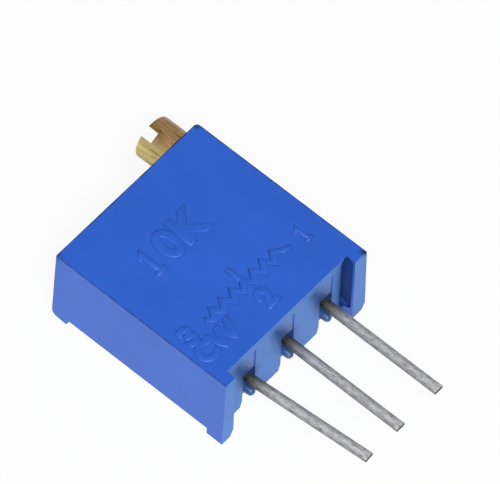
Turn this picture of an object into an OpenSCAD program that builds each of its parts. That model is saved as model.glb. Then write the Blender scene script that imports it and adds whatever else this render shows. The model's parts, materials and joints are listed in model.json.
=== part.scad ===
// Square multi-turn trimmer potentiometer with a side-stepped brass adjusting screw.
// The screw is a worm: it turns a toothed wheel that sweeps a wiper over a cermet
// track on a ceramic base, and three wire terminals carry the track and the wiper out.
//
// Frame, in millimetres: the marked face looks up (+Z) and the part lies on its back feet.
// The terminals leave along -Y and the screw head along +Y. The origin is on the axis of
// the middle terminal, in the plane of the feet that sit on a circuit board.

/* [Housing] */
// Width across the marked face
body_w = 9.53; // [9.3:0.01:10.4]
// Height from the board to the top of the housing
body_h = 10.03; // [9.9:0.01:11]
// Thickness from the back feet to the marked face
body_d = 4.83; // [4.75:0.01:5.4]
// Lean of the side and top walls over the whole thickness
wall_draft = 0.12; // [0.02:0.01:0.18]
// Radius of the upright corner beside the screw
corner_r = 0.2; // [0.1:0.01:0.4]
// Radius of the upright corner at the other end of the top
plain_corner_r = 0.08; // [0.04:0.01:0.4]
// Bevel round the marked face
edge_bevel = 0.07; // [0.03:0.01:0.12]
// Thickness of the side walls beside the ceramic
side_wall = 0.65; // [0.5:0.01:0.7]
// Thickness of the wall between the ceramic and the top
top_wall = 0.75; // [0.6:0.01:0.85]
// Thickness of the wall that the terminals pass through
floor_wall = 0.85; // [0.75:0.01:0.95]
// Thickness of the marked wall in front of the wheel
front_wall = 0.75; // [0.6:0.01:0.8]

/* [Feet] */
// Height of the two board feet
board_foot_h = 0.5; // [0.35:0.01:0.6]
// Width of the board foot away from the screw
plain_foot_w = 0.75; // [0.6:0.01:0.9]
// Width of the board foot under the screw
screw_foot_w = 0.88; // [0.8:0.01:0.95]
// Height of the four back feet
back_foot_h = 0.41; // [0.3:0.01:0.5]
// Length of the back feet
back_foot_len = 0.9; // [0.7:0.01:1.1]
// Bevel on the flank of the back feet
back_foot_bevel = 0.22; // [0.1:0.01:0.3]
// Radius of the back feet at the top end
back_foot_r = 0.38; // [0.2:0.01:0.4]

/* [Relief beside the screw foot] */
// Width of the oval relief
relief_w = 0.4; // [0.3:0.01:0.5]
// Depth of the oval relief above the floor of the housing
relief_depth = 0.7; // [0.4:0.01:0.72]
// Bite of the oval relief into the foot
relief_bite = 0.2; // [0.1:0.01:0.25]
// Lip of the foot left under the relief
relief_lip = 0.12; // [0.08:0.01:0.2]
// Radius of the rounded lead-in on the side away from the foot
relief_lead = 0.3; // [0.1:0.01:0.35]
// Margin between the ends of the relief and the faces of the housing
relief_margin = 0.13; // [0.1:0.01:0.2]

/* [Adjusting screw] */
// Distance of the screw axis from the side
screw_edge = 1.27; // [1.2:0.01:1.35]
// Distance of the screw axis from the marked face
screw_inset = 1.54; // [1.45:0.01:1.6]
// Diameter of the slotted head
head_d = 2.15; // [1.9:0.01:2.25]
// Height of the head above the housing
head_rise = 1.52; // [1.3:0.01:1.9]
// Gap between the head and the top of the housing
head_gap = 0.05; // [0.03:0.01:0.1]
// Bevel on the rim of the head
head_bevel = 0.09; // [0.04:0.01:0.14]
// Width of the driver slot
slot_w = 0.54; // [0.45:0.01:0.65]
// Depth of the driver slot
slot_depth = 0.6; // [0.5:0.01:0.8]
// Turn of the driver slot about the screw axis
slot_turn = -25.6; // [-90:0.1:90]
// Diameter of the shaft inside the housing
shaft_d = 1.7; // [1.6:0.01:1.76]
// Depth of the seal groove below the top of the housing
seal_depth = 0.95; // [0.8:0.01:1.1]
// Gap round the rubber seal ring
seal_gap = 0.02; // [0.015:0.005:0.04]
// Depth of the clip groove below the top of the housing
clip_depth = 1.75; // [1.65:0.01:1.85]
// Thickness of the retaining clip
clip_t = 0.3; // [0.2:0.01:0.34]
// Diameter of the tail journal
tail_d = 0.84; // [0.7:0.01:0.92]
// Length of the tail journal
tail_len = 1.0; // [0.8:0.01:1.1]

/* [Worm drive] */
// Teeth in a full turn of the wheel
teeth = 32; // [30:1:33]
// Teeth left off where the worm idles at the ends of travel
idle_teeth = 5; // [3:1:6]
// Turns of thread on the worm
worm_turns = 5.5; // [5:0.5:6]
// Height of a tooth above the pitch line
addendum = 0.17; // [0.14:0.01:0.18]
// Gap between the crest of a tooth and the root it runs in
root_gap = 0.04; // [0.03:0.01:0.05]
// Play between the flanks of worm and wheel
flank_play = 0.07; // [0.06:0.005:0.09]
// Wall beside the wheel, on the side away from the screw
wheel_wall = 0.915; // [0.85:0.005:1]
// Least margin above and below the wheel
wheel_margin = 0.4; // [0.3:0.01:0.42]
// Width of the toothed rim
wheel_t = 1.05; // [0.9:0.01:1.1]
// Width of the thrust ring on the front of the wheel
thrust_w = 0.45; // [0.3:0.01:0.6]
// Depth of the sunk web of the wheel
web_sink = 0.35; // [0.2:0.01:0.45]
// Diameter of the post that the wheel turns on
post_d = 1.6; // [1.3:0.01:1.7]
// Space round the teeth in the housing
wheel_gap = 0.18; // [0.12:0.01:0.22]

/* [Element] */
// Thickness of the ceramic base
ceramic_t = 0.8; // [0.6:0.01:0.85]
// Gap round the ceramic base
ceramic_gap = 0.05; // [0.03:0.01:0.08]
// Thickness of the printed track and lands
ink_t = 0.04; // [0.03:0.005:0.06]
// Distance of the middle of the track inside the pitch circle of the wheel
track_inset = 0.88; // [0.8:0.01:0.95]
// Width of the resistive track
track_w = 0.85; // [0.7:0.01:0.9]
// Angle of the gap in the track
track_gap_deg = 68; // [62:1:70]
// Gap between the track and the collector ring
print_gap = 0.35; // [0.3:0.01:0.4]
// Width of the collector ring
collector_w = 0.6; // [0.5:0.01:0.64]
// Width of the strip from the collector ring
strip_w = 0.5; // [0.4:0.01:0.6]
// Width of the printed lands under the terminals
land_w = 0.95; // [0.8:0.01:1.1]

/* [Wiper] */
// Thickness of the wiper spring
wiper_t = 0.1; // [0.08:0.01:0.12]
// Width of the bar that is staked to the wheel
bar_w = 0.72; // [0.6:0.01:0.8]
// Distance of the stakes from the bore of the wheel
stake_margin = 0.42; // [0.38:0.01:0.5]
// Fingers on the track
finger_count = 4; // [3:1:4]
// Width of one finger
finger_w = 0.14; // [0.1:0.01:0.16]
// Length of one finger
finger_len = 1.25; // [1.15:0.01:1.35]
// Height of the finger tips above the print
finger_lift = 0.04; // [0.03:0.01:0.06]

/* [Terminals] */
// Diameter of the terminal wire
lead_d = 0.51; // [0.45:0.01:0.55]
// Distance from one terminal to the next
lead_pitch = 2.54; // [2.5:0.01:2.58]
// Length of the terminals below the board feet
lead_len = 6.08; // [3:0.01:8]
// Lean of terminal 3 towards the middle one
lead_lean = 4.3; // [0:0.1:6]
// Length of the pinched tip
tip_len = 0.36; // [0.2:0.01:0.5]
// Thickness left at the end of the pinched tip
tip_t = 0.16; // [0.1:0.01:0.25]
// Radius of the bend where terminal 3 leans
bend_r = 2.5; // [1.5:0.1:3]
// Width of the square neck that the resin grips
neck_w = 0.32; // [0.28:0.01:0.34]
// Distance of the neck below the floor of the housing
neck_drop = 0.08; // [0.07:0.01:0.12]
// Length of the flattened blade on the ceramic
blade_len = 1.15; // [1:0.01:1.3]
// Width of the flattened blade
blade_w = 0.66; // [0.55:0.01:0.75]
// Width of the slots that the terminals leave by
lead_slot_w = 0.8; // [0.76:0.01:1]
// Distance of the middle of a slot from its terminal, towards the screw
lead_slot_shift = 0.05; // [0:0.01:0.05]
// Flare of the slots at the back, towards the screw
slot_flare = 0.25; // [0.1:0.01:0.3]
// Flare of the slots at the back, away from the screw
plain_flare = 0.12; // [0.05:0.01:0.3]
// Length of the flares
flare_len = 0.42; // [0.3:0.01:0.5]
// Distance of the slot ends from the marked face
lead_slot_front = 0.63; // [0.55:0.01:0.75]
// Depth of the shallow end of the slots
lead_slot_step = 0.14; // [0.08:0.01:0.3]

/* [Resin] */
// Depth of the resin in the terminal slots, below the housing floor
resin_sink = 0.38; // [0.3:0.01:0.45]
// Radius of the resin beads behind the terminals
bead_r = 0.22; // [0.15:0.01:0.24]
// Distance of the beads from the terminals
bead_back = 1.39; // [1.3:0.01:1.5]
// Radius of the resin collars at the wire
collar_r = 0.27; // [0.26:0.01:0.28]
// Flare of the resin collars towards the resin
collar_flare = 0.06; // [0.02:0.01:0.06]

/* [Hidden] */
$fn = 64;
running_gap = 0.03;
half_w = body_w / 2;
z_front = body_d / 2;
z_back = -body_d / 2;
lead_r = lead_d / 2;
lead_x = [for (i = [-1, 0, 1]) i * lead_pitch];

// Seats of the ceramic and of the back fill.
pocket_x = half_w - side_wall;
pocket_y0 = board_foot_h + floor_wall;
pocket_y1 = body_h - top_wall;
ceramic_z1 = -lead_r - ink_t;
shoulder_z = ceramic_z1 + ink_t + ceramic_gap;
ceramic_z0 = ceramic_z1 - ceramic_t;
resin_z = z_back + back_foot_h;

// Screw axis.
screw_x = half_w - screw_edge;
screw_z = z_front - screw_inset;
shaft_r = shaft_d / 2;
bore_r = shaft_r + running_gap;

// Worm and wheel: the wheel is the largest that the case leaves room for.
dedendum = addendum + root_gap;
worm_r = shaft_r - addendum;
core_r = worm_r - dedendum;
wheel_room_x = (body_w - screw_edge - shaft_r - wheel_gap - wheel_wall) / 2;
wheel_room_y = (pocket_y1 - pocket_y0) / 2 - addendum - wheel_gap - wheel_margin;
wheel_r = min(wheel_room_x, wheel_room_y);
wheel_x = screw_x - worm_r - wheel_r;
wheel_y = (pocket_y0 + pocket_y1) / 2;
worm_pitch = 2 * PI * wheel_r / teeth;
tip_r = wheel_r + addendum;
root_r = wheel_r - dedendum;
chamber_r = tip_r + wheel_gap;
chamber_z1 = z_front - front_wall;
wheel_z0 = screw_z - wheel_t / 2;
wheel_z1 = screw_z + wheel_t / 2;
tooth_step = 360 / teeth;
flank_slope = tan(20);
half_tooth = worm_pitch / 4 - flank_play / 2;
lead_angle = atan(worm_pitch / (2 * PI * worm_r));
last_tooth = floor((teeth - idle_teeth - 1) / 2);

// Stations along the screw.
seal_y = body_h - seal_depth;
seal_d = bore_r - core_r - 2 * seal_gap;
seal_groove = seal_d + 2 * running_gap;
seal_ring_r = (core_r + bore_r) / 2;
clip_y = body_h - clip_depth;
clip_groove = clip_t + 2 * running_gap;
clip_grip = 0.12;
worm_len = worm_turns * worm_pitch;
worm_y0 = wheel_y - worm_len / 2;
tail_y = worm_y0 - tail_len;

// Wiper stations, counted from the wheel axis.
wiper_z1 = wheel_z0;
wiper_z0 = wiper_z1 - wiper_t;
track_r = wheel_r - track_inset;
ring_r1 = track_r - track_w / 2 - print_gap;
ring_r0 = ring_r1 - collector_w;
collector_r = (ring_r0 + ring_r1) / 2;
finger_drop = wiper_z0 - (ceramic_z1 + ink_t + finger_lift);
finger_tilt = asin(finger_drop / finger_len);
finger_root_x = -0.85;
finger_pitch = finger_w + 0.05;
arm_w = 0.5;
stake_x = post_d / 2 + running_gap + stake_margin;
stake_r = 0.16;
stake_head_r = 0.26;
stake_head_t = 0.08;

// Terminal blades, lands and resin tongues.
blade_t = lead_r + 0.1;
neck_y = board_foot_h - neck_drop;
blade_y0 = board_foot_h + resin_sink + 0.1;
blade_y1 = pocket_y0 + ceramic_gap + blade_len;
land_y1 = blade_y1 + 0.2;
bay_x = lead_pitch + land_w / 2 + 0.2;
bay_y1 = land_y1 + 0.15;
bay_head = 0.06;
bay_z1 = blade_t + bay_head;
slot_deep_z = 0.4;
resin_y = board_foot_h + resin_sink;
over = 1;

// Helpers

// Extrudes an outline drawn in Y and Z along X.
module along_x(x0, x1)
    translate([x0, 0, 0]) rotate([90, 0, 90]) linear_extrude(x1 - x0) children();

// Extrudes an outline drawn in X and Z along Y.
module along_y(y0, y1)
    translate([0, y1, 0]) rotate([90, 0, 0]) linear_extrude(y1 - y0) children();

// A round bar along Y.
module bar_y(x, z, r, y0, y1)
    translate([x, y0, z]) rotate([-90, 0, 0]) cylinder(r = r, h = y1 - y0);

// A block between two corners.
module block(low, high)
    translate(low) cube(high - low);

// The waste outside a rounded corner at the origin, filling the first quadrant.
module corner_waste(r)
    difference() {
        translate([-r, -r]) square([r + over, r + over]);
        translate([-r, -r]) circle(r);
        translate([-r - over, -2 * r]) square([r + over, 3 * r + over]);
        translate([-2 * r, -r - over]) square([3 * r + over, r + over]);
    }

// A flat ring sector about the wheel axis, from angle a0 to a1, less than half a turn each half.
module sector(r0, r1, a0, a1)
    difference() {
        intersection() {
            circle(r1);
            wedge(2 * r1, a0, a1);
        }
        circle(r0);
    }

// A fan of triangles wide enough to cut a circle of radius r / 2.
module wedge(r, a0, a1) {
    steps = ceil((a1 - a0) / 60);
    polygon(concat([[0, 0]], [for (i = [0 : steps]) r * [
        cos(a0 + (a1 - a0) * i / steps), sin(a0 + (a1 - a0) * i / steps)]]));
}

module at_wheel(z) translate([wheel_x, wheel_y, z]) children();

// Housing

// Marked face, seen from the front.
module front_outline()
    difference() {
        translate([-half_w, 0]) square([body_w, body_h]);
        translate([half_w, body_h]) corner_waste(corner_r);
        translate([-half_w, body_h]) mirror([1, 0]) corner_waste(plain_corner_r);
    }

// Section across the width, with the leaning sides and the bevelled front.
module across_outline() {
    top = half_w - wall_draft;
    polygon([
        [-half_w, resin_z], [half_w, resin_z],
        [top, z_front - edge_bevel], [top - edge_bevel, z_front],
        [-top + edge_bevel, z_front], [-top, z_front - edge_bevel]
    ]);
}

// Section along the height, with the leaning top and the rounded back edge.
module along_outline() {
    top = body_h - wall_draft;
    difference() {
        polygon([
            [0, z_back], [body_h, z_back], [top, z_front - edge_bevel],
            [top - edge_bevel, z_front], [0, z_front]
        ]);
        translate([body_h, z_back]) mirror([0, 1]) corner_waste(back_foot_r);
    }
}

// A back foot, with its bevel on the flank away from -X.
module back_foot(x0, x1, y0, y1)
    along_y(y0, y1) polygon([
        [x0, z_back], [x1 - back_foot_bevel, z_back], [x1, resin_z], [x0, resin_z]
    ]);

module housing_blank()
    intersection() {
        linear_extrude(body_d, center = true) front_outline();
        along_x(-half_w, half_w) along_outline();
        union() {
            along_y(0, body_h) across_outline();
            for (y = [0, body_h - back_foot_len]) {
                back_foot(-half_w, -half_w + plain_foot_w, y, y + back_foot_len);
                back_foot(half_w - screw_foot_w, half_w, y, y + back_foot_len);
            }
        }
    }

// Space between the two board feet.
module board_gap()
    block([-half_w + plain_foot_w, -over, z_back - over],
          [half_w - screw_foot_w, board_foot_h, z_front + over]);

// Oval relief that bites into the foot under the screw, with a rounded lead-in on its other side.
module relief() {
    r = relief_w / 2;
    x1 = half_w - screw_foot_w + relief_bite;
    x0 = x1 - relief_w;
    z0 = resin_z + relief_margin + r;
    z1 = z_front - relief_margin - r;
    along_y(relief_lip, board_foot_h + relief_depth) {
        translate([x0, z0]) square([relief_w, z1 - z0]);
        for (z = [z0, z1]) translate([x0 + r, z]) circle(r);
    }
    translate([0, 0, z0]) linear_extrude(z1 - z0) polygon(concat(
        [[x0 + r, board_foot_h + relief_lead], [x0 + r, relief_lip], [x0 - relief_lead, relief_lip]],
        [for (a = [0 : 15 : 90])
            [x0 - relief_lead * (1 - sin(a)), board_foot_h + relief_lead * (1 - cos(a))]]
    ));
}

// Sides of the slot of the terminal at x.
function slot_sides(x) = [for (side = [-1, 1]) x + lead_slot_shift + side * lead_slot_w / 2];

// Outline of a terminal slot from below, with its mouth flared at the back.
module slot_outline(x) {
    sides = slot_sides(x);
    polygon([
        [sides[0], slot_deep_z], [sides[1], slot_deep_z], [sides[1], resin_z + flare_len],
        [sides[1] + slot_flare, resin_z], [sides[0] - plain_flare, resin_z],
        [sides[0], resin_z + flare_len]
    ]);
}

// A terminal slot, open to the back and stepped up to a shallow end near the marked face.
module lead_slot(x) {
    sides = slot_sides(x);
    along_y(board_foot_h - over, pocket_y0 + over) slot_outline(x);
    block([sides[0], board_foot_h - over, 0],
          [sides[1], board_foot_h + lead_slot_step, z_front - lead_slot_front]);
}

// Room for the ceramic base and the resin, open to the back.
module ceramic_pocket()
    block([-pocket_x, pocket_y0, z_back - over], [pocket_x, pocket_y1, shoulder_z]);

// Room for the wheel, the wiper and the terminal blades in front of the ceramic.
module wheel_chamber() {
    at_wheel(ceramic_z1 - over) cylinder(r = chamber_r, h = chamber_z1 - ceramic_z1 + over);
    block([-bay_x, pocket_y0, ceramic_z1 - over], [bay_x, bay_y1, bay_z1]);
}

// Bore of the screw shaft, with a blind seat for its tail.
module screw_bore() {
    bar_y(screw_x, screw_z, bore_r, worm_y0 - 0.1, body_h + over);
    bar_y(screw_x, screw_z, tail_d / 2 + running_gap, tail_y - 0.1, worm_y0);
}

// Slit that the retaining clip is pushed into from the back.
module clip_slit() {
    half = bore_r + clip_grip;
    block([screw_x - half, clip_y - clip_groove / 2, ceramic_z1 - over],
          [screw_x + half, clip_y + clip_groove / 2, screw_z + core_r]);
}

module housing()
    color([0.19, 0.37, 0.80]) {
        difference() {
            housing_blank();
            board_gap();
            relief();
            for (x = lead_x) lead_slot(x);
            ceramic_pocket();
            wheel_chamber();
            screw_bore();
            clip_slit();
        }
        at_wheel(wheel_z0 + 0.1) cylinder(d = post_d, h = chamber_z1 - wheel_z0);
    }

// Resin that closes the back and grips the terminals.
module resin_fill()
    color([0.22, 0.30, 0.48])
        difference() {
            union() {
                block([-pocket_x, pocket_y0, resin_z], [pocket_x, pocket_y1, ceramic_z0]);
                for (x = lead_x) {
                    along_y(resin_y, pocket_y0) slot_outline(x);
                    resin_bead(x);
                    translate([x, neck_y, 0]) rotate([-90, 0, 0])
                        cylinder(r1 = collar_r, r2 = collar_r + collar_flare, h = blade_y0 - neck_y);
                }
            }
            for (x = lead_x) grip(x);
        }

// A drop of resin that bulges out of the slot behind a terminal.
module resin_bead(x)
    translate([slot_sides(x)[1] - bead_r - running_gap, 0, -bead_back]) {
        translate([0, board_foot_h, 0]) sphere(bead_r, $fn = 32);
        bar_y(0, 0, bead_r, board_foot_h, resin_y + bead_r, $fn = 32);
    }

// Element

module ceramic_base()
    color([0.93, 0.92, 0.88])
        block([-pocket_x + ceramic_gap, pocket_y0 + ceramic_gap, ceramic_z0],
              [pocket_x - ceramic_gap, pocket_y1 - ceramic_gap, ceramic_z1]);

// Outline of the track, a horseshoe open towards the terminals.
module track_outline()
    translate([wheel_x, wheel_y])
        sector(track_r - track_w / 2, track_r + track_w / 2,
               -90 + track_gap_deg / 2, 270 - track_gap_deg / 2);

module print_layer()
    translate([0, 0, ceramic_z1]) linear_extrude(ink_t) children();

module resistive_track()
    color([0.16, 0.15, 0.14]) print_layer() track_outline();

// Ring that the inner finger rides on, with its strip to the middle terminal.
module collector_track()
    color([0.78, 0.76, 0.70]) print_layer() {
        translate([wheel_x, wheel_y]) difference() {
            circle(ring_r1);
            circle(ring_r0);
        }
        difference() {
            translate([wheel_x - strip_w / 2, land_y0()]) square([strip_w, wheel_y - land_y0()]);
            translate([wheel_x, wheel_y]) circle(collector_r);
        }
        translate([lead_x[1] - land_w / 2, land_y0()]) square([land_w, land_y1 - land_y0()]);
    }

function land_y0() = pocket_y0 + 2 * ceramic_gap;

// Land from one end of the track to an outer terminal; side is 1 or -1.
module end_land(side) {
    end_deg = -90 + side * track_gap_deg / 2;
    half = land_w / 2;
    color([0.78, 0.76, 0.70]) print_layer()
        difference() {
            union() {
                translate([side * lead_pitch - half, land_y0()])
                    square([land_w, land_y1 - land_y0()]);
                hull() {
                    translate([wheel_x, wheel_y])
                        for (r = [track_r - track_w / 2 + 0.1, track_r + track_w / 2 - 0.1])
                            rotate(end_deg) translate([r, 0]) circle(0.1, $fn = 24);
                    translate([side * lead_pitch, land_y1 - half]) circle(half, $fn = 32);
                }
            }
            track_outline();
        }
}

// Terminals

// Wire with a pinched tip, a square neck in the resin and a blade on the ceramic.
module terminal(side, lean) {
    x = side * lead_pitch;
    reach = neck_y + lead_len - bend_r * lean * PI / 180;
    color([0.72, 0.72, 0.72]) {
        grip(x);
        translate([x + bend_r, neck_y, 0]) {
            if (lean > 0) rotate([0, 0, 180]) rotate_extrude(angle = lean)
                translate([bend_r, 0]) circle(lead_r);
            rotate([0, 0, lean]) translate([-bend_r, 0, 0]) difference() {
                bar_y(0, 0, lead_r, -reach, 0);
                for (flip = [0, 1]) mirror([0, 0, flip]) pinch(reach);
            }
        }
    }
}

// Neck and flattened blade, from the wire up to the ceramic.
module grip(x) {
    half = neck_w / 2;
    block([x - half, neck_y, -half], [x + half, blade_y0, half]);
    block([x - blade_w / 2, blade_y0, -lead_r], [x + blade_w / 2, blade_y1, blade_t - lead_r]);
}

// Waste on one side of the pinched tip, at distance reach below the bend.
module pinch(reach)
    along_x(-over, over) polygon([
        [-reach - over, tip_t / 2 - over * (lead_r - tip_t / 2) / tip_len],
        [-reach + tip_len, lead_r], [-reach + tip_len, lead_r + over],
        [-reach - over, lead_r + over]
    ]);

// Solder heaped over a blade on its land.
module solder_joint(side) {
    x = side * lead_pitch;
    heap_r = land_w / 2;
    y0 = pocket_y0 + 3 * ceramic_gap;
    color([0.66, 0.67, 0.68])
        difference() {
            intersection() {
                bar_y(x, -lead_r, heap_r, y0, blade_y1 + 0.12);
                block([x - heap_r, y0, -lead_r], [x + heap_r, land_y1, bay_z1]);
            }
            grip(x);
        }
}

// Adjusting screw

// Rings of a helical thread: each is a trapezium across the thread at one angle.
thread_steps = 24;
thread_rings = round(worm_turns * thread_steps);
thread_root = half_tooth + dedendum * flank_slope;
thread_crest = half_tooth - addendum * flank_slope;
function thread_point(i, r, offset) =
    let (a = -90 + 360 * (i - thread_rings / 2) / thread_steps)
    [r * sin(a), worm_pitch * ((i - thread_rings / 2) / thread_steps + 0.5) + offset, r * cos(a)];
function thread_ring(i) = [
    thread_point(i, core_r - 0.06, -thread_root), thread_point(i, shaft_r, -thread_crest),
    thread_point(i, shaft_r, thread_crest), thread_point(i, core_r - 0.06, thread_root)
];

module worm_thread() {
    points = [for (i = [0 : thread_rings]) each thread_ring(i)];
    sides = [for (i = [0 : thread_rings - 1], j = [0 : 3])
        let (a = 4 * i + j, b = 4 * i + (j + 1) % 4) each [[a, b, b + 4], [a, b + 4, a + 4]]];
    last = 4 * thread_rings;
    ends = [[3, 2, 1], [3, 1, 0], [last, last + 1, last + 2], [last, last + 2, last + 3]];
    translate([screw_x, wheel_y, screw_z]) polyhedron(points, concat(sides, ends));
}

// Turned profile of the screw, radius against height, head up.
module screw_profile() {
    head_r = head_d / 2;
    top = body_h + head_rise;
    polygon([
        [0, tail_y], [tail_d / 2 - 0.1, tail_y], [tail_d / 2, tail_y + 0.1],
        [tail_d / 2, worm_y0 - 0.05], [core_r, worm_y0 - 0.05],
        [core_r, worm_y0 + worm_len + worm_pitch], [shaft_r, worm_y0 + worm_len + worm_pitch],
        [shaft_r, clip_y - clip_groove / 2], [core_r, clip_y - clip_groove / 2],
        [core_r, clip_y + clip_groove / 2], [shaft_r, clip_y + clip_groove / 2],
        [shaft_r, seal_y - seal_groove / 2], [core_r, seal_y - seal_groove / 2],
        [core_r, seal_y + seal_groove / 2], [shaft_r, seal_y + seal_groove / 2],
        [shaft_r, body_h + head_gap], [head_r, body_h + head_gap],
        [head_r, top - head_bevel], [head_r - head_bevel, top], [0, top]
    ]);
}

module adjusting_screw()
    color([0.78, 0.62, 0.30]) {
        difference() {
            translate([screw_x, 0, screw_z]) rotate([-90, 0, 0]) rotate_extrude() screw_profile();
            translate([screw_x, body_h + head_rise, screw_z]) rotate([0, slot_turn, 0])
                block([-slot_w / 2, -slot_depth, -head_d], [slot_w / 2, over, head_d]);
        }
        worm_thread();
    }

module seal_ring()
    color([0.62, 0.20, 0.12])
        translate([screw_x, seal_y, screw_z]) rotate([-90, 0, 0])
            rotate_extrude() translate([seal_ring_r, 0]) circle(d = seal_d, $fn = 32);

// Forked plate that keeps the screw from lifting out.
module retaining_clip() {
    half = bore_r + clip_grip - running_gap;
    gap_r = core_r + running_gap;
    color([0.75, 0.75, 0.74])
        along_y(clip_y - clip_t / 2, clip_y + clip_t / 2)
            translate([screw_x, 0]) difference() {
                translate([-half, ceramic_z1 + running_gap])
                    square([2 * half, screw_z + core_r - ceramic_z1 - 2 * running_gap]);
                translate([0, screw_z]) circle(gap_r);
                translate([-gap_r, screw_z]) square([2 * gap_r, core_r + over]);
            }
}

// Worm wheel

// One tooth: a trapezium on the rim, leaned to follow the worm thread.
module tooth() {
    tip = half_tooth - addendum * flank_slope;
    root = half_tooth + dedendum * flank_slope;
    sunk = dedendum + 0.15;
    translate([wheel_r, 0, screw_z]) rotate([-lead_angle, 0, 0])
        linear_extrude(wheel_t - 0.15, center = true)
            polygon([[-sunk, -root], [addendum, -tip], [addendum, tip], [-sunk, root]]);
}

module worm_wheel() {
    bore = post_d / 2 + running_gap;
    thrust_z = chamber_z1 - running_gap;
    color([0.90, 0.88, 0.80])
        translate([wheel_x, wheel_y, 0]) {
            difference() {
                union() {
                    translate([0, 0, wheel_z0]) cylinder(r = root_r, h = wheel_t);
                    translate([0, 0, wheel_z0]) cylinder(r = bore + thrust_w, h = thrust_z - wheel_z0);
                }
                translate([0, 0, wheel_z0 - over]) cylinder(r = bore, h = wheel_t + 3 * over);
                translate([0, 0, wheel_z1 - web_sink]) linear_extrude(over)
                    difference() {
                        circle(root_r - thrust_w);
                        circle(bore + thrust_w);
                    }
            }
            for (i = [-last_tooth : last_tooth]) rotate(i * tooth_step) tooth();
            for (p = stakes()) translate([p[0], p[1], wiper_z0 - stake_head_t]) {
                cylinder(r = stake_head_r, h = stake_head_t);
                cylinder(r = stake_r, h = stake_head_t + wiper_t + 0.05);
            }
        }
}

// Heat stakes that hold the wiper spring on the wheel.
function stakes() = [for (s = [-1, 1]) [s * stake_x, 0]];

// Wiper

// Slanted finger that starts at x on the spring, at distance y from the wheel axis.
module finger(x, y)
    translate([x, y - finger_w / 2, wiper_z0]) rotate([0, finger_tilt, 0])
        cube([finger_len, finger_w, wiper_t * 0.7]);

module wiper_spring() {
    first_y = track_r - finger_pitch * (finger_count - 1) / 2;
    arm_y0 = -collector_r - finger_w;
    arm_y1 = track_r + finger_pitch * finger_count / 2;
    color([0.80, 0.66, 0.38])
        translate([wheel_x, wheel_y, 0]) {
            translate([0, 0, wiper_z0]) linear_extrude(wiper_t)
                difference() {
                    union() {
                        translate([-stake_x, -bar_w / 2]) square([2 * stake_x, bar_w]);
                        for (p = stakes()) translate(p) circle(bar_w / 2);
                        translate([finger_root_x - arm_w, arm_y0]) square([arm_w + 0.12, arm_y1 - arm_y0]);
                    }
                    for (p = stakes()) translate(p) circle(stake_r + 0.01);
                }
            for (i = [0 : finger_count - 1]) finger(finger_root_x, first_y + i * finger_pitch);
            finger(finger_root_x, -collector_r);
        }
}

housing();
resin_fill();
ceramic_base();
resistive_track();
collector_track();
end_land(1);  // end_land_1
end_land(-1);  // end_land_3
terminal(1, 0);  // terminal_1
terminal(0, 0);  // terminal_2
terminal(-1, lead_lean);  // terminal_3
solder_joint(1);  // solder_joint_1
solder_joint(0);  // solder_joint_2
solder_joint(-1);  // solder_joint_3
adjusting_screw();
seal_ring();
retaining_clip();
worm_wheel();
wiper_spring();
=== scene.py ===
"""Looks of a square multi-turn trimmer potentiometer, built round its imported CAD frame."""

import json
import math
from functools import reduce
from types import SimpleNamespace

import bmesh
import bpy
from bpy.props import FloatProperty, FloatVectorProperty, IntProperty, PointerProperty
from mathutils import Matrix, Vector, noise


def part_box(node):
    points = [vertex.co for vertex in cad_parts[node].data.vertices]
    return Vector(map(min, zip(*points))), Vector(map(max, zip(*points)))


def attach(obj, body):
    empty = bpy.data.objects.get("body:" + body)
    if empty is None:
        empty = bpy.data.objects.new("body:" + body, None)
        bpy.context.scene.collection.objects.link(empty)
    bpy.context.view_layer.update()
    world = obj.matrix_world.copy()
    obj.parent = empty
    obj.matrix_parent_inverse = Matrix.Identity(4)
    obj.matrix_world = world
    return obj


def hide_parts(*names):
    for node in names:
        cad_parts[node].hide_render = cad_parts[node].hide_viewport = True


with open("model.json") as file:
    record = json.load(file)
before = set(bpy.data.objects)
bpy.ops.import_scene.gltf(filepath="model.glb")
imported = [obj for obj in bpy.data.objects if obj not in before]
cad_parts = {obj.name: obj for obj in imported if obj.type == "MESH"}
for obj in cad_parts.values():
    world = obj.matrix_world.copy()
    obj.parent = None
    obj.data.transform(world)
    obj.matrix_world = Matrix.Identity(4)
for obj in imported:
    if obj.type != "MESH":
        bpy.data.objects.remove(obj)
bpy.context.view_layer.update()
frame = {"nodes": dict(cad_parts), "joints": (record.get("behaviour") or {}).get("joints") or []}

bl_info = {
    "name": "Trimmer potentiometer",
    "version": (1, 0, 0),
    "blender": (4, 5, 0),
    "location": "View3D > Sidebar > Trimmer",
    "description": "Builds the visible pieces of a square trimmer potentiometer and its stage",
    "category": "Add Mesh",
}

# Shapes are modelled in millimetres and scaled to metres when a piece is finished. NEAR is the distance
# at which two places count as one, SLIVER the least side of a face, and OVER how far a cut overshoots.
MM = 0.001
NEAR = 1e-4
SLIVER = 2e-3
SORTING = Vector((1.0, 31.7, 977.3))
OVER = 1.0
RUNNING_GAP = 0.03
QUARTER_STEPS = 6


def span(node):
    """Lowest and highest corner of a CAD node, in millimetres."""
    low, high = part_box(node)
    return low / MM, high / MM


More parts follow.
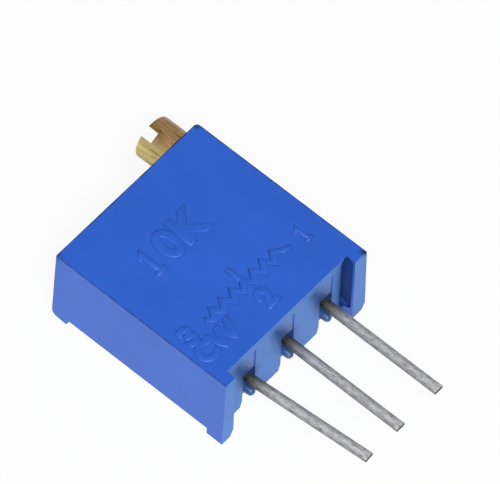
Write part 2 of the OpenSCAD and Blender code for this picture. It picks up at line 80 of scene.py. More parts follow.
CASE_LOW, CASE_HIGH = span("housing")
RESIN_LOW, RESIN_HIGH = span("resin_fill")
CERAMIC_LOW, CERAMIC_HIGH = span("ceramic_base")
SCREW_LOW, SCREW_HIGH = span("adjusting_screw")
WHEEL_HIGH = span("worm_wheel")[1]
CLIP_LOW, CLIP_HIGH = span("retaining_clip")
SOLDER_LOW, SOLDER_HIGH = span("solder_joint_1")
JOINTS = {joint["name"]: Vector(joint["pos_m"]) / MM for joint in frame["joints"]}
SCREW_AXIS = JOINTS["adjuster_turn"]
WHEEL_AXIS = JOINTS["wiper_turn"]
BACK_Z = RESIN_LOW.z
PITCH = (SOLDER_LOW.x + SOLDER_HIGH.x) / 2
WIRES = {"terminal_1": PITCH, "terminal_2": 0.0, "terminal_3": -PITCH}


# Properties

def length(label, text, millimetres):
    """A length property with its default given in millimetres."""
    return FloatProperty(name=label, description=text, default=millimetres * MM,
                         min=0.0, precision=6, unit="LENGTH")


def angle(label, text, degrees):
    """An angle property with its default given in degrees."""
    return FloatProperty(name=label, description=text, default=math.radians(degrees), subtype="ANGLE")


def tint(label, text, rgb):
    """A colour property."""
    return FloatVectorProperty(name=label, description=text, default=rgb, size=3,
                               min=0.0, max=1.0, subtype="COLOR")


def power(label, text, watts):
    """A lamp's power property."""
    return FloatProperty(name=label, description=text, default=watts, min=0.0, unit="POWER")


class HousingSizes(bpy.types.PropertyGroup):
    """Sizes of the moulded case."""

    wall_lean: length("Wall lean", "How far the side and top walls lean in at the marked face", 0.12)
    screw_corner: length("Screw corner", "Radius of the upright corner beside the screw", 0.2)
    plain_corner: length("Plain corner", "Radius of the upright corner away from the screw", 0.08)
    face_round: length("Face round", "Rounding round the marked face", 0.045)
    edge_round: length("Edge round", "Rounding of the feet, slots and other edges", 0.035)
    board_foot: length("Board foot height", "Height of the two feet that sit on a board", 0.5)
    plain_foot: length("Plain foot width", "Width of the foot away from the screw", 0.75)
    screw_foot: length("Screw foot width", "Width of the foot under the screw", 0.88)
    back_foot: length("Back foot length", "Length of the four feet on the back", 0.9)
    foot_flank: length("Back foot flank", "Bevel on the flank of the back feet", 0.22)
    foot_heel: length("Back foot heel", "Radius of the back feet at the top end", 0.38)
    relief_width: length("Relief width", "Width of the straight part of the relief, under the foot", 0.22)
    relief_depth: length("Relief depth", "Depth of the relief above the floor", 0.7)
    relief_bite: length("Relief bite", "How far the relief cuts into the foot", 0.2)
    relief_lip: length("Relief lip", "Lip of the foot left under the relief", 0.12)
    relief_lead: length("Relief lead", "Radius of the rounded lead-in of the relief", 0.42)
    relief_corner: length("Relief corner", "Rounding of the ends of the relief on the foot", 0.32)
    relief_back: length("Relief back", "Wall left behind the relief", 0.22)
    relief_front: length("Relief front", "Wall left between the relief and the marked face", 0.03)
    relief_fade: length("Relief fade", "Length over which the lead-in narrows at the ends of the relief", 0.7)
    slot_width: length("Slot width", "Width of the slots that the wires leave by", 0.8)
    slot_shift: length("Slot shift", "Distance of a slot's middle from its wire", 0.05)
    slot_deep: length("Slot deep end", "Where the deep part of the slots ends", 0.4)
    slot_front: length("Slot front", "Distance of the slot ends from the marked face", 0.63)
    slot_step: length("Slot step", "Depth of the shallow end of the slots under its film of resin", 0.05)
    screw_flare: length("Screw flare", "Flare of the slots at the back, towards the screw", 0.25)
    plain_flare: length("Plain flare", "Flare of the slots at the back, away from the screw", 0.12)
    flare_length: length("Flare length", "Length of those flares", 0.42)
    post: length("Post diameter", "Diameter of the post that the wheel turns on", 1.6)
    wheel_gap: length("Wheel gap", "Space round the teeth of the wheel", 0.18)


class MarkSizes(bpy.types.PropertyGroup):
    """Sizes of the raised marks on the face."""

    rise: length("Rise", "Height of the marks above the face", 0.055)
    slope: length("Slope", "Width of the sloped sides of the marks", 0.075)
    stroke: length("Stroke", "Width of the lines of the symbol", 0.3)
    bold: length("Bold", "How far the letters are thickened", 0.045)
    digit: length("Digit height", "Height of the terminal numbers", 0.95)
    value: length("Value height", "Height of the resistance value", 1.5)


class ScrewSizes(bpy.types.PropertyGroup):
    """Sizes of the adjusting screw."""

    head: length("Head diameter", "Diameter of the slotted head", 2.15)
    head_gap: length("Head gap", "Gap between the head and the case", 0.05)
    rim_round: length("Rim round", "Rounding of the rim of the head", 0.09)
    slot_width: length("Slot width", "Width of the driver slot", 0.54)
    slot_depth: length("Slot depth", "Depth of the driver slot", 0.6)
    slot_turn: angle("Slot turn", "Turn of the driver slot about the screw", -25.6)
    shaft: length("Shaft diameter", "Diameter of the shaft inside the case", 1.7)
    core: length("Core diameter", "Diameter at the root of the worm thread", 0.94)
    tail: length("Tail diameter", "Diameter of the tail journal", 0.84)
    tooth: length("Tooth height", "Height of the thread above its pitch line", 0.17)
    thread_turns: FloatProperty(name="Thread turns", description="Turns of the worm thread", default=5.5)
    wheel_teeth: IntProperty(name="Wheel teeth", description="Teeth in a full turn of the wheel", default=32)
    seal_depth: length("Seal depth", "Depth of the seal groove below the top of the case", 0.95)
    seal_groove: length("Seal groove", "Width of the seal groove", 0.43)


class WireSizes(bpy.types.PropertyGroup):
    """Sizes of the three terminals."""

    diameter: length("Wire diameter", "Diameter of the terminal wire", 0.51)
    lean: angle("Lean", "Lean of terminal 3 towards the middle one", 4.3)
    bend: length("Bend radius", "Radius of the bend where terminal 3 leans", 2.5)
    tip: length("Tip length", "Length of the pinched tip", 0.36)
    tip_thickness: length("Tip thickness", "Thickness at the end of the tip", 0.2)
    tip_spread: FloatProperty(name="Tip spread", description="Widening of the pinched tip", default=0.03)
    neck_drop: length("Neck drop", "Distance of the neck below the floor of the case", 0.08)
    neck: length("Neck width", "Width of the square neck in the resin", 0.32)
    blade: length("Blade width", "Width of the flattened blade on the ceramic", 0.66)
    blade_thickness: length("Blade thickness", "Thickness of the flattened blade", 0.355)


class ResinSizes(bpy.types.PropertyGroup):
    """Sizes of the resin."""

    sink: length("Sink", "Depth of the resin below the floor of the case", 0.38)
    climb: length("Climb", "How far the resin creeps up the walls", 0.07)
    creep: length("Creep", "How far the resin reaches out from a wire that it climbs", 0.05)
    collar: length("Collar", "How far the resin climbs up a wire", 0.16)
    dish: length("Dish", "How far the resin on the back sinks in the middle", 0.05)
    bead: length("Bead radius", "Radius of the bead behind each wire", 0.22)
    bead_back: length("Bead distance", "Distance of the bead from its wire", 1.39)


class Finishes(bpy.types.PropertyGroup):
    """Colours of the pieces."""

    case_blue: tint("Case blue", "Colour of the moulded case", (0.018, 0.106, 0.56))
    # Painted shade along the edges and corners of the case, in its relief and on the sides of the marks.
    edge_dark: tint("Edge dark", "Colour of the dirt along the edges of the case", (0.004, 0.015, 0.085))
    resin_blue: tint("Resin blue", "Colour of the resin", (0.04, 0.11, 0.29))
    # Painted shade on the resin down in the slots.
    resin_dark: tint("Resin dark", "Colour of the resin down in the slots", (0.006, 0.017, 0.06))
    # Painted sheen on the sides of the case that face the board and, fainter, on the plain side.
    case_pale: tint("Case pale", "Colour of the case where it is washed out", (0.042, 0.176, 0.56))
    # Painted shadow of the wires on the case, and painted shade on the floor before the relief.
    smear_navy: tint("Smear navy", "Colour of the smears of resin by the wires", (0.005, 0.03, 0.13))
    film_grey: tint("Film grey", "Colour of the film of resin in the slots", (0.075, 0.172, 0.49))
    wire_grey: tint("Wire grey", "Colour of the dull tin on the wires", (0.43, 0.43, 0.44))
    # Darkened further, also the colour of the painted shade on the wires' undersides, roots and pinched tips.
    wire_dark: tint("Wire dark", "Colour of the dark streaks on the wires", (0.19, 0.19, 0.195))
    brass: tint("Brass", "Colour of the screw", (0.68, 0.55, 0.24))
    brass_dark: tint("Brass dark", "Colour of the dark streaks on the screw", (0.26, 0.17, 0.045))
    brass_pink: tint("Brass pink", "Colour of the rubbed patches on the screw", (0.36, 0.2, 0.09))


class StageSettings(bpy.types.PropertyGroup):
    """Camera, floor and light."""

    lens: FloatProperty(name="Lens", description="Focal length of the camera", default=657.5,
                        subtype="DISTANCE_CAMERA")
    distance: length("Distance", "Distance of the camera from the middle of the case", 400.0)
    azimuth: angle("Azimuth", "Turn of the camera about the upright axis", -51.002)
    elevation: angle("Elevation", "Height of the camera above the horizon", 58.283)
    roll: angle("Roll", "Roll of the camera", 2.728)
    aside: length("Aside", "Shift of the view to the right", 1.79)
    above: length("Above", "Shift of the view upwards", 1.71)
    key_power: power("Key power", "Power of the key lamp", 1.32)
    fill_power: power("Fill power", "Power of the side lamp", 0.36)
    sky: FloatProperty(name="Sky", description="Strength of the even light from all round", default=0.12)


def in_mm(group):
    """The values of a property group, with its lengths in millimetres."""
    kinds = group.bl_rna.properties
    return SimpleNamespace(**{key: getattr(group, key) / (MM if kinds[key].unit == "LENGTH" else 1)
                              for key in type(group).__annotations__})


def board_floor(case):
    """Where the floor between the board feet lies, along Y."""
    return CASE_LOW.y + case.board_foot


def marked_face(scene):
    """Where the marked face of the case lies, along Z."""
    return CASE_HIGH.z - in_mm(scene.trimmer_marks).rise


# Mesh helpers

def block(bm, low, high):
    """Adds a box between two corners and returns its vertices."""
    low, high = Vector(low), Vector(high)
    verts = bmesh.ops.create_cube(bm, size=1.0)["verts"]
    bmesh.ops.scale(bm, vec=high - low, verts=verts)
    bmesh.ops.translate(bm, vec=(low + high) / 2, verts=verts)
    return verts


def round_bar(bm, centre, radius, y0, y1, segments=64):
    """Adds a round bar along Y."""
    place = Matrix.Translation((centre.x, (y0 + y1) / 2, centre.z)) @ Matrix.Rotation(math.pi / 2, 4, "X")
    bmesh.ops.create_cone(bm, cap_ends=True, segments=segments, radius1=radius, radius2=radius,
                          depth=y1 - y0, matrix=place)


def round_post(bm, centre, radius, z0, z1, segments=96):
    """Adds a round bar along Z."""
    place = Matrix.Translation((centre.x, centre.y, (z0 + z1) / 2))
    bmesh.ops.create_cone(bm, cap_ends=True, segments=segments, radius1=radius, radius2=radius,
                          depth=z1 - z0, matrix=place)


def prism(bm, points, shift):
    """Adds a solid that sweeps a flat outline of a few points along a vector."""
    face = bm.faces.new([bm.verts.new(point) for point in points])
    swept = bmesh.ops.extrude_face_region(bm, geom=[face], use_keep_orig=True)["geom"]
    bmesh.ops.translate(bm, vec=shift, verts=[v for v in swept if isinstance(v, bmesh.types.BMVert)])
    bmesh.ops.recalc_face_normals(bm, faces=bm.faces)


def drag(bm, ring, shift):
    """Extrudes a ring of edges by a vector; returns the new ring and its vertices."""
    new = bmesh.ops.extrude_edge_only(bm, edges=ring)["geom"]
    verts = [v for v in new if isinstance(v, bmesh.types.BMVert)]
    bmesh.ops.translate(bm, vec=shift, verts=verts)
    return [e for e in new if isinstance(e, bmesh.types.BMEdge) and len(e.link_faces) == 1], verts


def close_ends(bm):
    """Fills the open rings of a swept wall and points its faces outwards."""
    bmesh.ops.holes_fill(bm, edges=[e for e in bm.edges if len(e.link_faces) == 1], sides=0)
    bmesh.ops.recalc_face_normals(bm, faces=bm.faces)


def bevel(bm, edges, width, segments):
    """Rounds edges and returns the new faces."""
    return bmesh.ops.bevel(bm, geom=edges, offset=width, offset_type="OFFSET", segments=segments,
                           profile=0.5, affect="EDGES", clamp_overlap=True, material=-1)["faces"]


def sharp(edge, limit=30):
    """True for an outer edge between two faces that turn by more than the limit in degrees."""
    return (len(edge.link_faces) == 2 and edge.is_convex
            and edge.calc_face_angle() > math.radians(limit))


def middle(edge):
    """Middle of an edge."""
    return (edge.verts[0].co + edge.verts[1].co) / 2


def add_bmesh(bm, other):
    """Adds one bmesh to another."""
    mesh = bpy.data.meshes.new("joint")
    other.to_mesh(mesh)
    other.free()
    bm.from_mesh(mesh)
    bpy.data.meshes.remove(mesh)


def solid(bm, name):
    """Puts a bmesh, still in millimetres, into an object that a cut can use."""
    mesh = bpy.data.meshes.new(name)
    bm.to_mesh(mesh)
    bm.free()
    shape = bpy.data.objects.new(name, mesh)
    bpy.context.scene.collection.objects.link(shape)
    return shape


def put_in_order(bm):
    """Sorts a mesh by place, because a cut leaves its parts in no fixed order."""
    bm.verts.sort(key=lambda vert: vert.co.dot(SORTING))
    bm.edges.sort(key=lambda edge: middle(edge).dot(SORTING))
    bm.faces.sort(key=lambda face: face.calc_center_median().dot(SORTING))


def combine(shape, tools, operation):
    """Joins tools to a shape or cuts them out of it, and returns the result as a bmesh."""
    for tool in tools:
        step = shape.modifiers.new(tool.name, "BOOLEAN")
        step.object = tool
        step.operation = operation
        step.solver = "EXACT"
    bpy.context.view_layer.update()
    result = shape.evaluated_get(bpy.context.evaluated_depsgraph_get()).to_mesh()
    bm = bmesh.new()
    bm.from_mesh(result)
    for spent in (shape, *tools):
        mesh = spent.data
        bpy.data.objects.remove(spent)
        bpy.data.meshes.remove(mesh)
    put_in_order(bm)
    bmesh.ops.remove_doubles(bm, verts=bm.verts, dist=NEAR)
    bmesh.ops.dissolve_limit(bm, angle_limit=math.radians(0.3), verts=bm.verts, edges=bm.edges)
    return bm


def clean(bm):
    """Merges corners that nearly meet, and takes out faces without area and loose flaps."""
    bmesh.ops.remove_doubles(bm, verts=bm.verts, dist=SLIVER)
    bmesh.ops.dissolve_degenerate(bm, dist=SLIVER, edges=bm.edges)
    flaps = [f for f in bm.faces if sum(e.is_boundary for e in f.edges) > 1]
    bmesh.ops.delete(bm, geom=flaps, context="FACES")


def finish_piece(bm, name, body, material, stands_for=(), crease=35):
    """Turns a bmesh in millimetres into a finished piece that rides on a body."""
    clean(bm)
    bmesh.ops.scale(bm, vec=(MM, MM, MM), verts=bm.verts)
    mesh = bpy.data.meshes.new(name)
    bm.to_mesh(mesh)
    bm.free()
    mesh.shade_smooth()
    mesh.set_sharp_from_angle(angle=math.radians(crease))
    mesh.materials.append(material)
    piece = bpy.data.objects.new(name, mesh)
    bpy.context.scene.collection.objects.link(piece)
    even = piece.modifiers.new("even_shading", "WEIGHTED_NORMAL")
    even.keep_sharp = True
    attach(piece, body)
    if stands_for:
        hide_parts(*stands_for)


# Materials

VECTOR_SOCKET, VALUE_SOCKET = "NodeSocketVector", "NodeSocketFloat"
# Places on the case and the resin, in millimetres, between which a mask of painted shade or painted shadow
# fades or grows.
SHADOW_LINE = Vector((-0.75, 0, 1.6))
SHADOW_REACH, SHADOW_TOP, SHADOW_SIDES = (0.25, 0.9), (0.7, 0.9), (3.6, 3.85)
RELIEF_NEAR, RELIEF_FOOT, RELIEF_ENDS, RELIEF_MIDDLE = (2.95, 3.55), (3.95, 4.0), (1.5, 2.2), 0.15
FLOOR_LEVEL = 0.4, 0.47
EDGE_SHADE_WIDTH, EDGE_SHADE_CORNER, EDGE_SHADE_SIDE, EDGE_SHADE_TOP = (0.03, 0.075), (0.1, 0.36), (-4.0, 0.0), (0.6, 0.3)
BACK_FEET = 3.9, 4.2
HOLE_BACK, HOLE_FLOOR = (-1.25, -0.5), (0.42, 0.6)


def add_node(tree, kind, **values):
    """Adds a node and sets its inputs, by name, or its own settings."""
    node = tree.nodes.new(kind)
    for key, value in values.items():
        label = key.replace("_", " ").title()
        if label in node.inputs:
            node.inputs[label].default_value = value
        else:
            setattr(node, key, value)
    return node


def join(tree, value, socket):
    """Links a socket to another, or sets a plain value on it."""
    if isinstance(value, bpy.types.NodeSocket):
        tree.links.new(value, socket)
    else:
        socket.default_value = value


def ramp(tree, source, stops):
    """Adds a colour ramp with (place, colour) stops, fed by a socket."""
    node = tree.nodes.new("ShaderNodeValToRGB")
    node.color_ramp.elements[0].position = stops[0][0]
    node.color_ramp.elements[0].color = stops[0][1]
    node.color_ramp.elements[1].position = stops[-1][0]
    node.color_ramp.elements[1].color = stops[-1][1]
    for place, colour in stops[1:-1]:
        node.color_ramp.elements.new(place).color = colour
    tree.links.new(source, node.inputs["Fac"])
    return node.outputs["Color"]


def mix(tree, factor, first, second, blend="MIX"):
    """Mixes two colours; each may be a socket or a plain colour."""
    node = add_node(tree, "ShaderNodeMix", data_type="RGBA", blend_type=blend)
    for socket, value in ((node.inputs[0], factor), (node.inputs[6], first), (node.inputs[7], second)):
        join(tree, value, socket)
    return node.outputs[2]


def math_node(tree, operation, first, second, third=None):
    """Adds a math node; each input may be a socket or a number."""
    node = add_node(tree, "ShaderNodeMath", operation=operation)
    for socket, value in zip(node.inputs, (first, second, third)):
        if value is not None:
            join(tree, value, socket)
    return node.outputs[0]


def span_value(tree, source, low, high, start=0.0, end=1.0):
    """Maps a mask onto a range of values."""
    node = tree.nodes.new("ShaderNodeMapRange")
    for key, value in (("From Min", start), ("From Max", end), ("To Min", low), ("To Max", high)):
        node.inputs[key].default_value = value
    tree.links.new(source, node.inputs["Value"])
    return node.outputs["Result"]


def fade(tree, source, start, end):
    """A mask that falls from one to none between two values."""
    return span_value(tree, source, 1.0, 0.0, start, end)


def grow(tree, source, start, end):
    """A mask that grows from none to one between two values."""
    return span_value(tree, source, 0.0, 1.0, start, end)


def fold(tree, operation, *masks):
    """Joins masks by one math operation, such as MULTIPLY or MAXIMUM."""
    return reduce(lambda first, second: math_node(tree, operation, first, second), masks)


def apart(tree, first, second=0.0):
    """The distance between two numbers."""
    return math_node(tree, "ABSOLUTE", math_node(tree, "SUBTRACT", first, second), 0.0)


def split(tree, position):
    """The three parts of a position."""
    node = tree.nodes.new("ShaderNodeSeparateXYZ")
    tree.links.new(position, node.inputs[0])
    return node.outputs


def painted(tree, name):
    """A mask that is kept on the faces of a piece."""
    return add_node(tree, "ShaderNodeAttribute", attribute_name=name).outputs["Fac"]


def blotched(tree, source, rgb, spread):
    """A colour that turns darker and lighter with a noise."""
    return ramp(tree, source, [(0.3, shade(rgb, 1 - spread)), (0.7, shade(rgb, 1 + spread))])


def shade(rgb, factor=1.0):
    """A colour made darker or lighter, with alpha."""
    return (*[min(1.0, channel * factor) for channel in rgb], 1.0)


def noise_group(name, inputs, textures, height_share):
    """Node group of two noises, each (output, vector, scale, detail), and a height made of both."""
    group = bpy.data.node_groups.new(name, "ShaderNodeTree")
    for label, kind in inputs:
        group.interface.new_socket(label, in_out="INPUT", socket_type=kind)
    for label in (*[texture[0] for texture in textures], "Height"):
        group.interface.new_socket(label, in_out="OUTPUT", socket_type=VALUE_SOCKET)
    source = group.nodes.new("NodeGroupInput")
    sink = group.nodes.new("NodeGroupOutput")
    made = []
    for label, vector, scale, detail in textures:
        node = add_node(group, "ShaderNodeTexNoise", detail=detail, roughness=0.6, scale=1.0)
        group.links.new(source.outputs[vector], node.inputs["Vector"])
        if scale:
            group.links.new(source.outputs[scale], node.inputs["Scale"])
        group.links.new(node.outputs["Fac"], sink.inputs[label])
        made.append(node.outputs["Fac"])
    group.links.new(math_node(group, "MULTIPLY_ADD", made[0], height_share, made[1]), sink.inputs["Height"])
    return group


def surface_group():
    """Slow blotches and a fine grain, for moulded, cast and fired surfaces."""
    return bpy.data.node_groups.get("surface_grain") or noise_group(
        "surface_grain",
        (("Position", VECTOR_SOCKET), ("Blotch Scale", VALUE_SOCKET), ("Grain Scale", VALUE_SOCKET)),
        (("Blotch", "Position", "Blotch Scale", 3.0), ("Grain", "Position", "Grain Scale", 4.0)),
        height_share=0.35)


def streak_group():
    """Drawn streaks and pits, for wire and turned metal."""
    return bpy.data.node_groups.get("metal_streaks") or noise_group(
        "metal_streaks",
        (("Position", VECTOR_SOCKET), ("Stretched", VECTOR_SOCKET), ("Pit Scale", VALUE_SOCKET)),
        (("Streak", "Stretched", None, 5.0), ("Pit", "Position", "Pit Scale", 3.0)),
        height_share=1.0)


def start_material(name):
    """A new material with its tree, its shader and a position in millimetres."""
    material = bpy.data.materials.new(name)
    material.use_nodes = True
    tree = material.node_tree
    tree.nodes.clear()
    output = tree.nodes.new("ShaderNodeOutputMaterial")
    shader = tree.nodes.new("ShaderNodeBsdfPrincipled")
    tree.links.new(shader.outputs["BSDF"], output.inputs["Surface"])
    return material, tree, shader, mapped(tree, (1.0, 1.0, 1.0))


def mapped(tree, stretch):
    """The object's own position in millimetres, stretched along each axis."""
    place = tree.nodes.new("ShaderNodeTexCoord")
    node = tree.nodes.new("ShaderNodeMapping")
    node.inputs["Scale"].default_value = [value / MM for value in stretch]
    tree.links.new(place.outputs["Object"], node.inputs["Vector"])
    return node.outputs["Vector"]


def put_group(tree, group, **sockets):
    """Places a node group and joins or sets its inputs."""
    node = add_node(tree, "ShaderNodeGroup", node_tree=group)
    for key, value in sockets.items():
        join(tree, value, node.inputs[key.replace("_", " ").title()])
    return node.outputs


def put_bump(tree, shader, height, depth):
    """Adds a bump, with its depth in millimetres, to the shader's normal."""
    node = add_node(tree, "ShaderNodeBump", strength=1.0, distance=depth * MM)
    tree.links.new(height, node.inputs["Height"])
    tree.links.new(node.outputs["Normal"], shader.inputs["Normal"])


def grained_material(name, colour, blotch, grain, spread, rough, bump, metallic=0.0):
    """A material with slow blotches of colour and a fine grain in roughness and height."""
    material, tree, shader, place = start_material(name)
    group = put_group(tree, surface_group(), position=place, blotch_scale=blotch, grain_scale=grain)
    tone = blotched(tree, group["Blotch"], colour, spread)
    speck = ramp(tree, group["Grain"], [(0.3, (0.86, 0.86, 0.86, 1)), (0.6, (1, 1, 1, 1))])
    tree.links.new(mix(tree, 1.0, tone, speck, "MULTIPLY"), shader.inputs["Base Color"])
    tree.links.new(span_value(tree, group["Grain"], *rough), shader.inputs["Roughness"])
    put_bump(tree, shader, group["Height"], bump)
    shader.inputs["Metallic"].default_value = metallic
    return material


def drawn_material(name, colour, dark, stretch, pit, rough, bump, patch=None, dull=None, pits=0.75):
    """A metal with streaks along its length and small dark pits.

    A patch is a colour, the axis it lies round and the side it lies on; the painted shade argument gives the
    heights between which the underside is darkened with painted shade, and where along the length the root
    is.
    """
    material, tree, shader, place = start_material(name)
    group = put_group(tree, streak_group(), position=place, stretched=mapped(tree, stretch), pit_scale=pit)
    tone = ramp(tree, group["Streak"], [(0.3, shade(dark)), (0.47, shade(colour, 0.86)),
                                        (0.6, shade(colour)), (0.75, shade(colour, 1.2))])
    if patch:
        colour, axis, side = patch
        beside = vector_node(tree, "SUBTRACT", place, axis)["Vector"]
        beside = vector_node(tree, "DOT_PRODUCT", beside, side)["Value"]
        beside = math_node(tree, "SUBTRACT", beside, 0.6)
        where = math_node(tree, "MULTIPLY_ADD", group["Streak"], 1.2, beside)
        tone = mix(tree, span_value(tree, where, 0.0, 0.9, -0.45, 0.1), tone,
                   ramp(tree, group["Streak"], [(0.35, shade(dark, 0.8)), (0.5, shade(colour)),
                                                (0.75, shade(colour, 1.9))]))
    # Painted shade: the underside, the root by the case and the pinched tip turn darker; the cut end is dark
    # in its own right.
    if dull:
        _, y, z = split(tree, place)
        underside, root = dull
        shaded_part = fold(tree, "MAXIMUM", span_value(tree, z, 0.85, 0.0, *underside),
                   span_value(tree, y, 0.0, 0.9, *root), painted(tree, "cut_end_and_shade"))
        tone = mix(tree, shaded_part, tone, shade(dark, 0.2))
    specks = ramp(tree, group["Pit"], [(0.3, (0.3, 0.29, 0.28, 1)), (0.4, (1, 1, 1, 1))])
    tree.links.new(mix(tree, pits, tone, specks, "MULTIPLY"), shader.inputs["Base Color"])
    tree.links.new(span_value(tree, group["Streak"], *rough), shader.inputs["Roughness"])
    put_bump(tree, shader, group["Height"], bump)
    shader.inputs["Metallic"].default_value = 1.0
    return material


def start_group(name, outputs):
    """A node group that takes a position; returns it, the position's parts and the group's outputs."""
    group = bpy.data.node_groups.new(name, "ShaderNodeTree")
    group.interface.new_socket("Position", in_out="INPUT", socket_type=VECTOR_SOCKET)
    for label in outputs:
        group.interface.new_socket(label, in_out="OUTPUT", socket_type=VALUE_SOCKET)
    source = group.nodes.new("NodeGroupInput")
    return group, split(group, source.outputs["Position"]), group.nodes.new("NodeGroupOutput").inputs


def vector_node(tree, operation, first, second):
    """Adds a vector math node; returns its outputs."""
    node = add_node(tree, "ShaderNodeVectorMath", operation=operation)
    join(tree, first, node.inputs[0])
    join(tree, second, node.inputs["Scale"] if operation == "SCALE" else node.inputs[1])
    return node.outputs


def wire_group():
    """Distance in millimetres from the line along which the painted shadow of the nearest wire falls on the
    case.
    """
    name = "wire_nearness"
    if name in bpy.data.node_groups:
        return bpy.data.node_groups[name]
    group, axes, sink = start_group(name, ("Smear",))
    spot = group.nodes.new("ShaderNodeCombineXYZ")
    group.links.new(math_node(group, "WRAP", axes["X"], PITCH / 2, -PITCH / 2), spot.inputs["X"])
    group.links.new(axes["Z"], spot.inputs["Z"])
    spot = spot.outputs[0]
    along = vector_node(group, "DOT_PRODUCT", spot, SHADOW_LINE / SHADOW_LINE.length_squared)["Value"]
    along = span_value(group, along, 0.0, 1.0)
    line = vector_node(group, "SCALE", SHADOW_LINE, along)["Vector"]
    away = vector_node(group, "DISTANCE", spot, line)["Value"]
    group.links.new(math_node(group, "MULTIPLY_ADD", along, 0.3, away), sink["Smear"])
    return group


def edge_group(lean, face_z):
    """Distance in millimetres from the nearest outer edge and the nearest outer corner of the case."""
    name = "edge_distance"
    if name in bpy.data.node_groups:
        return bpy.data.node_groups[name]
    group, axes, sink = start_group(name, ("Edge", "Corner"))
    x, y, z = axes
    leaning = span_value(group, z, 0.0, lean, CASE_LOW.z, face_z)
    across = math_node(group, "ADD", apart(group, x), leaning)
    side = math_node(group, "SUBTRACT", CASE_HIGH.x, across)
    top = math_node(group, "SUBTRACT", CASE_HIGH.y, math_node(group, "ADD", y, leaning))
    at_end = grow(group, apart(group, y, CASE_HIGH.y / 2), *BACK_FEET)
    back = math_node(group, "ADD", apart(group, z, BACK_Z), at_end)
    deep = math_node(group, "MINIMUM", math_node(group, "SUBTRACT", face_z, z), back)
    edge = math_node(group, "MAXIMUM", math_node(group, "MINIMUM", side, top),
                     math_node(group, "MINIMUM", math_node(group, "MAXIMUM", side, top), deep))
    group.links.new(edge, sink["Edge"])
    foot = math_node(group, "ADD", y, span_value(group, x, 2.0, 0.0, 0.0, 2.0))
    far = fold(group, "MAXIMUM", side, math_node(group, "MINIMUM", top, foot), deep)
    group.links.new(far, sink["Corner"])
    return group


def resin_material(finishes):
    """Cast resin with painted shade deep in the holes round the wires; a bead of it that stands out keeps the
    lighter resin colour.
    """
    material, tree, shader, place = start_material("cast_resin")
    group = put_group(tree, surface_group(), position=place, blotch_scale=0.9, grain_scale=6.0)
    tone = blotched(tree, group["Blotch"], finishes.resin_blue, 0.2)
    _, y, z = split(tree, place)
    # Painted shade: the resin turns dark deep in the slots near the wires.
    hole = fold(tree, "MULTIPLY", span_value(tree, z, 0.0, 0.95, *HOLE_BACK), grow(tree, y, *HOLE_FLOOR))
    tree.links.new(mix(tree, hole, tone, shade(finishes.resin_dark)), shader.inputs["Base Color"])
    rough = span_value(tree, group["Grain"], 0.16, 0.34)
    tree.links.new(math_node(tree, "MAXIMUM", rough, hole), shader.inputs["Roughness"])
    put_bump(tree, shader, group["Height"], 0.008)
    return material


def case_material(scene):
    """Blue moulded plastic with painted shade along its edges and in its relief, a painted sheen on its board
    side, a film of resin in its slots, and painted shadows of the wires.
    """
    name = "case_blue_plastic"
    if name in bpy.data.materials:
        return bpy.data.materials[name]
    finishes = scene.trimmer_finishes
    material, tree, shader, place = start_material(name)
    slow = put_group(tree, surface_group(), position=place, blotch_scale=0.35, grain_scale=11.0)
    quick = put_group(tree, surface_group(), position=place, blotch_scale=2.2, grain_scale=26.0)
    x, y, z = split(tree, place)
    tone = blotched(tree, slow["Blotch"], finishes.case_blue, 0.07)
    # A painted sheen on the board side and the plain side, and the real film of resin in the slots.
    for mask, colour in (("washed_out", finishes.case_pale), ("resin_film", finishes.film_grey)):
        tone = mix(tree, painted(tree, mask), tone, shade(colour))

    # Painted shadows of the wires on the board side, and painted shade on the floor leading into the relief,
    # on the terminal end only.
    wires = put_group(tree, wire_group(), position=place)
    low = fade(tree, y, *SHADOW_TOP)
    painted_shadow = fold(tree, "MULTIPLY", span_value(tree, wires["Smear"], 0.9, 0.0, *SHADOW_REACH), low,
                 span_value(tree, slow["Blotch"], 0.85, 1.0, 0.35, 0.6),
                 fade(tree, apart(tree, x), *SHADOW_SIDES))
    beside = fold(tree, "MULTIPLY", span_value(tree, x, 0.0, 0.6, *RELIEF_NEAR),
                  fade(tree, x, *RELIEF_FOOT), fade(tree, apart(tree, z, RELIEF_MIDDLE), *RELIEF_ENDS),
                  grow(tree, y, *FLOOR_LEVEL), low)
    painted_shadow = math_node(tree, "MAXIMUM", painted_shadow, beside)
    tone = mix(tree, painted_shadow, tone, shade(finishes.smear_navy))

    # Painted shade along the outer edges, heavier at the corners and away from the plain side.
    lean = in_mm(scene.trimmer_housing).wall_lean
    edges = put_group(tree, edge_group(lean, marked_face(scene)), position=place)
    ragged = math_node(tree, "MULTIPLY_ADD", quick["Blotch"], -0.16,
                       math_node(tree, "ADD", edges["Edge"], 0.08))
    weight = math_node(tree, "MAXIMUM", span_value(tree, x, 0.55, 1.0, *EDGE_SHADE_SIDE),
                       grow(tree, y, *[CASE_HIGH.y - below for below in EDGE_SHADE_TOP]))
    line = math_node(tree, "MULTIPLY", fade(tree, ragged, *EDGE_SHADE_WIDTH), weight)
    corner = math_node(tree, "MULTIPLY", fade(tree, edges["Corner"], *EDGE_SHADE_CORNER),
                       grow(tree, quick["Blotch"], 0.3, 0.5))
    edge_shade_mask = fold(tree, "MAXIMUM", line, corner, painted(tree, "edge_line"))
    tree.links.new(mix(tree, edge_shade_mask, tone, shade(finishes.edge_dark)), shader.inputs["Base Color"])
    rough = fold(tree, "MAXIMUM", span_value(tree, slow["Grain"], 0.36, 0.54), edge_shade_mask, painted_shadow)
    tree.links.new(rough, shader.inputs["Roughness"])
    put_bump(tree, shader, slow["Height"], 0.004)
    shader.inputs["Specular IOR Level"].default_value = 0.45
    return material


# Housing

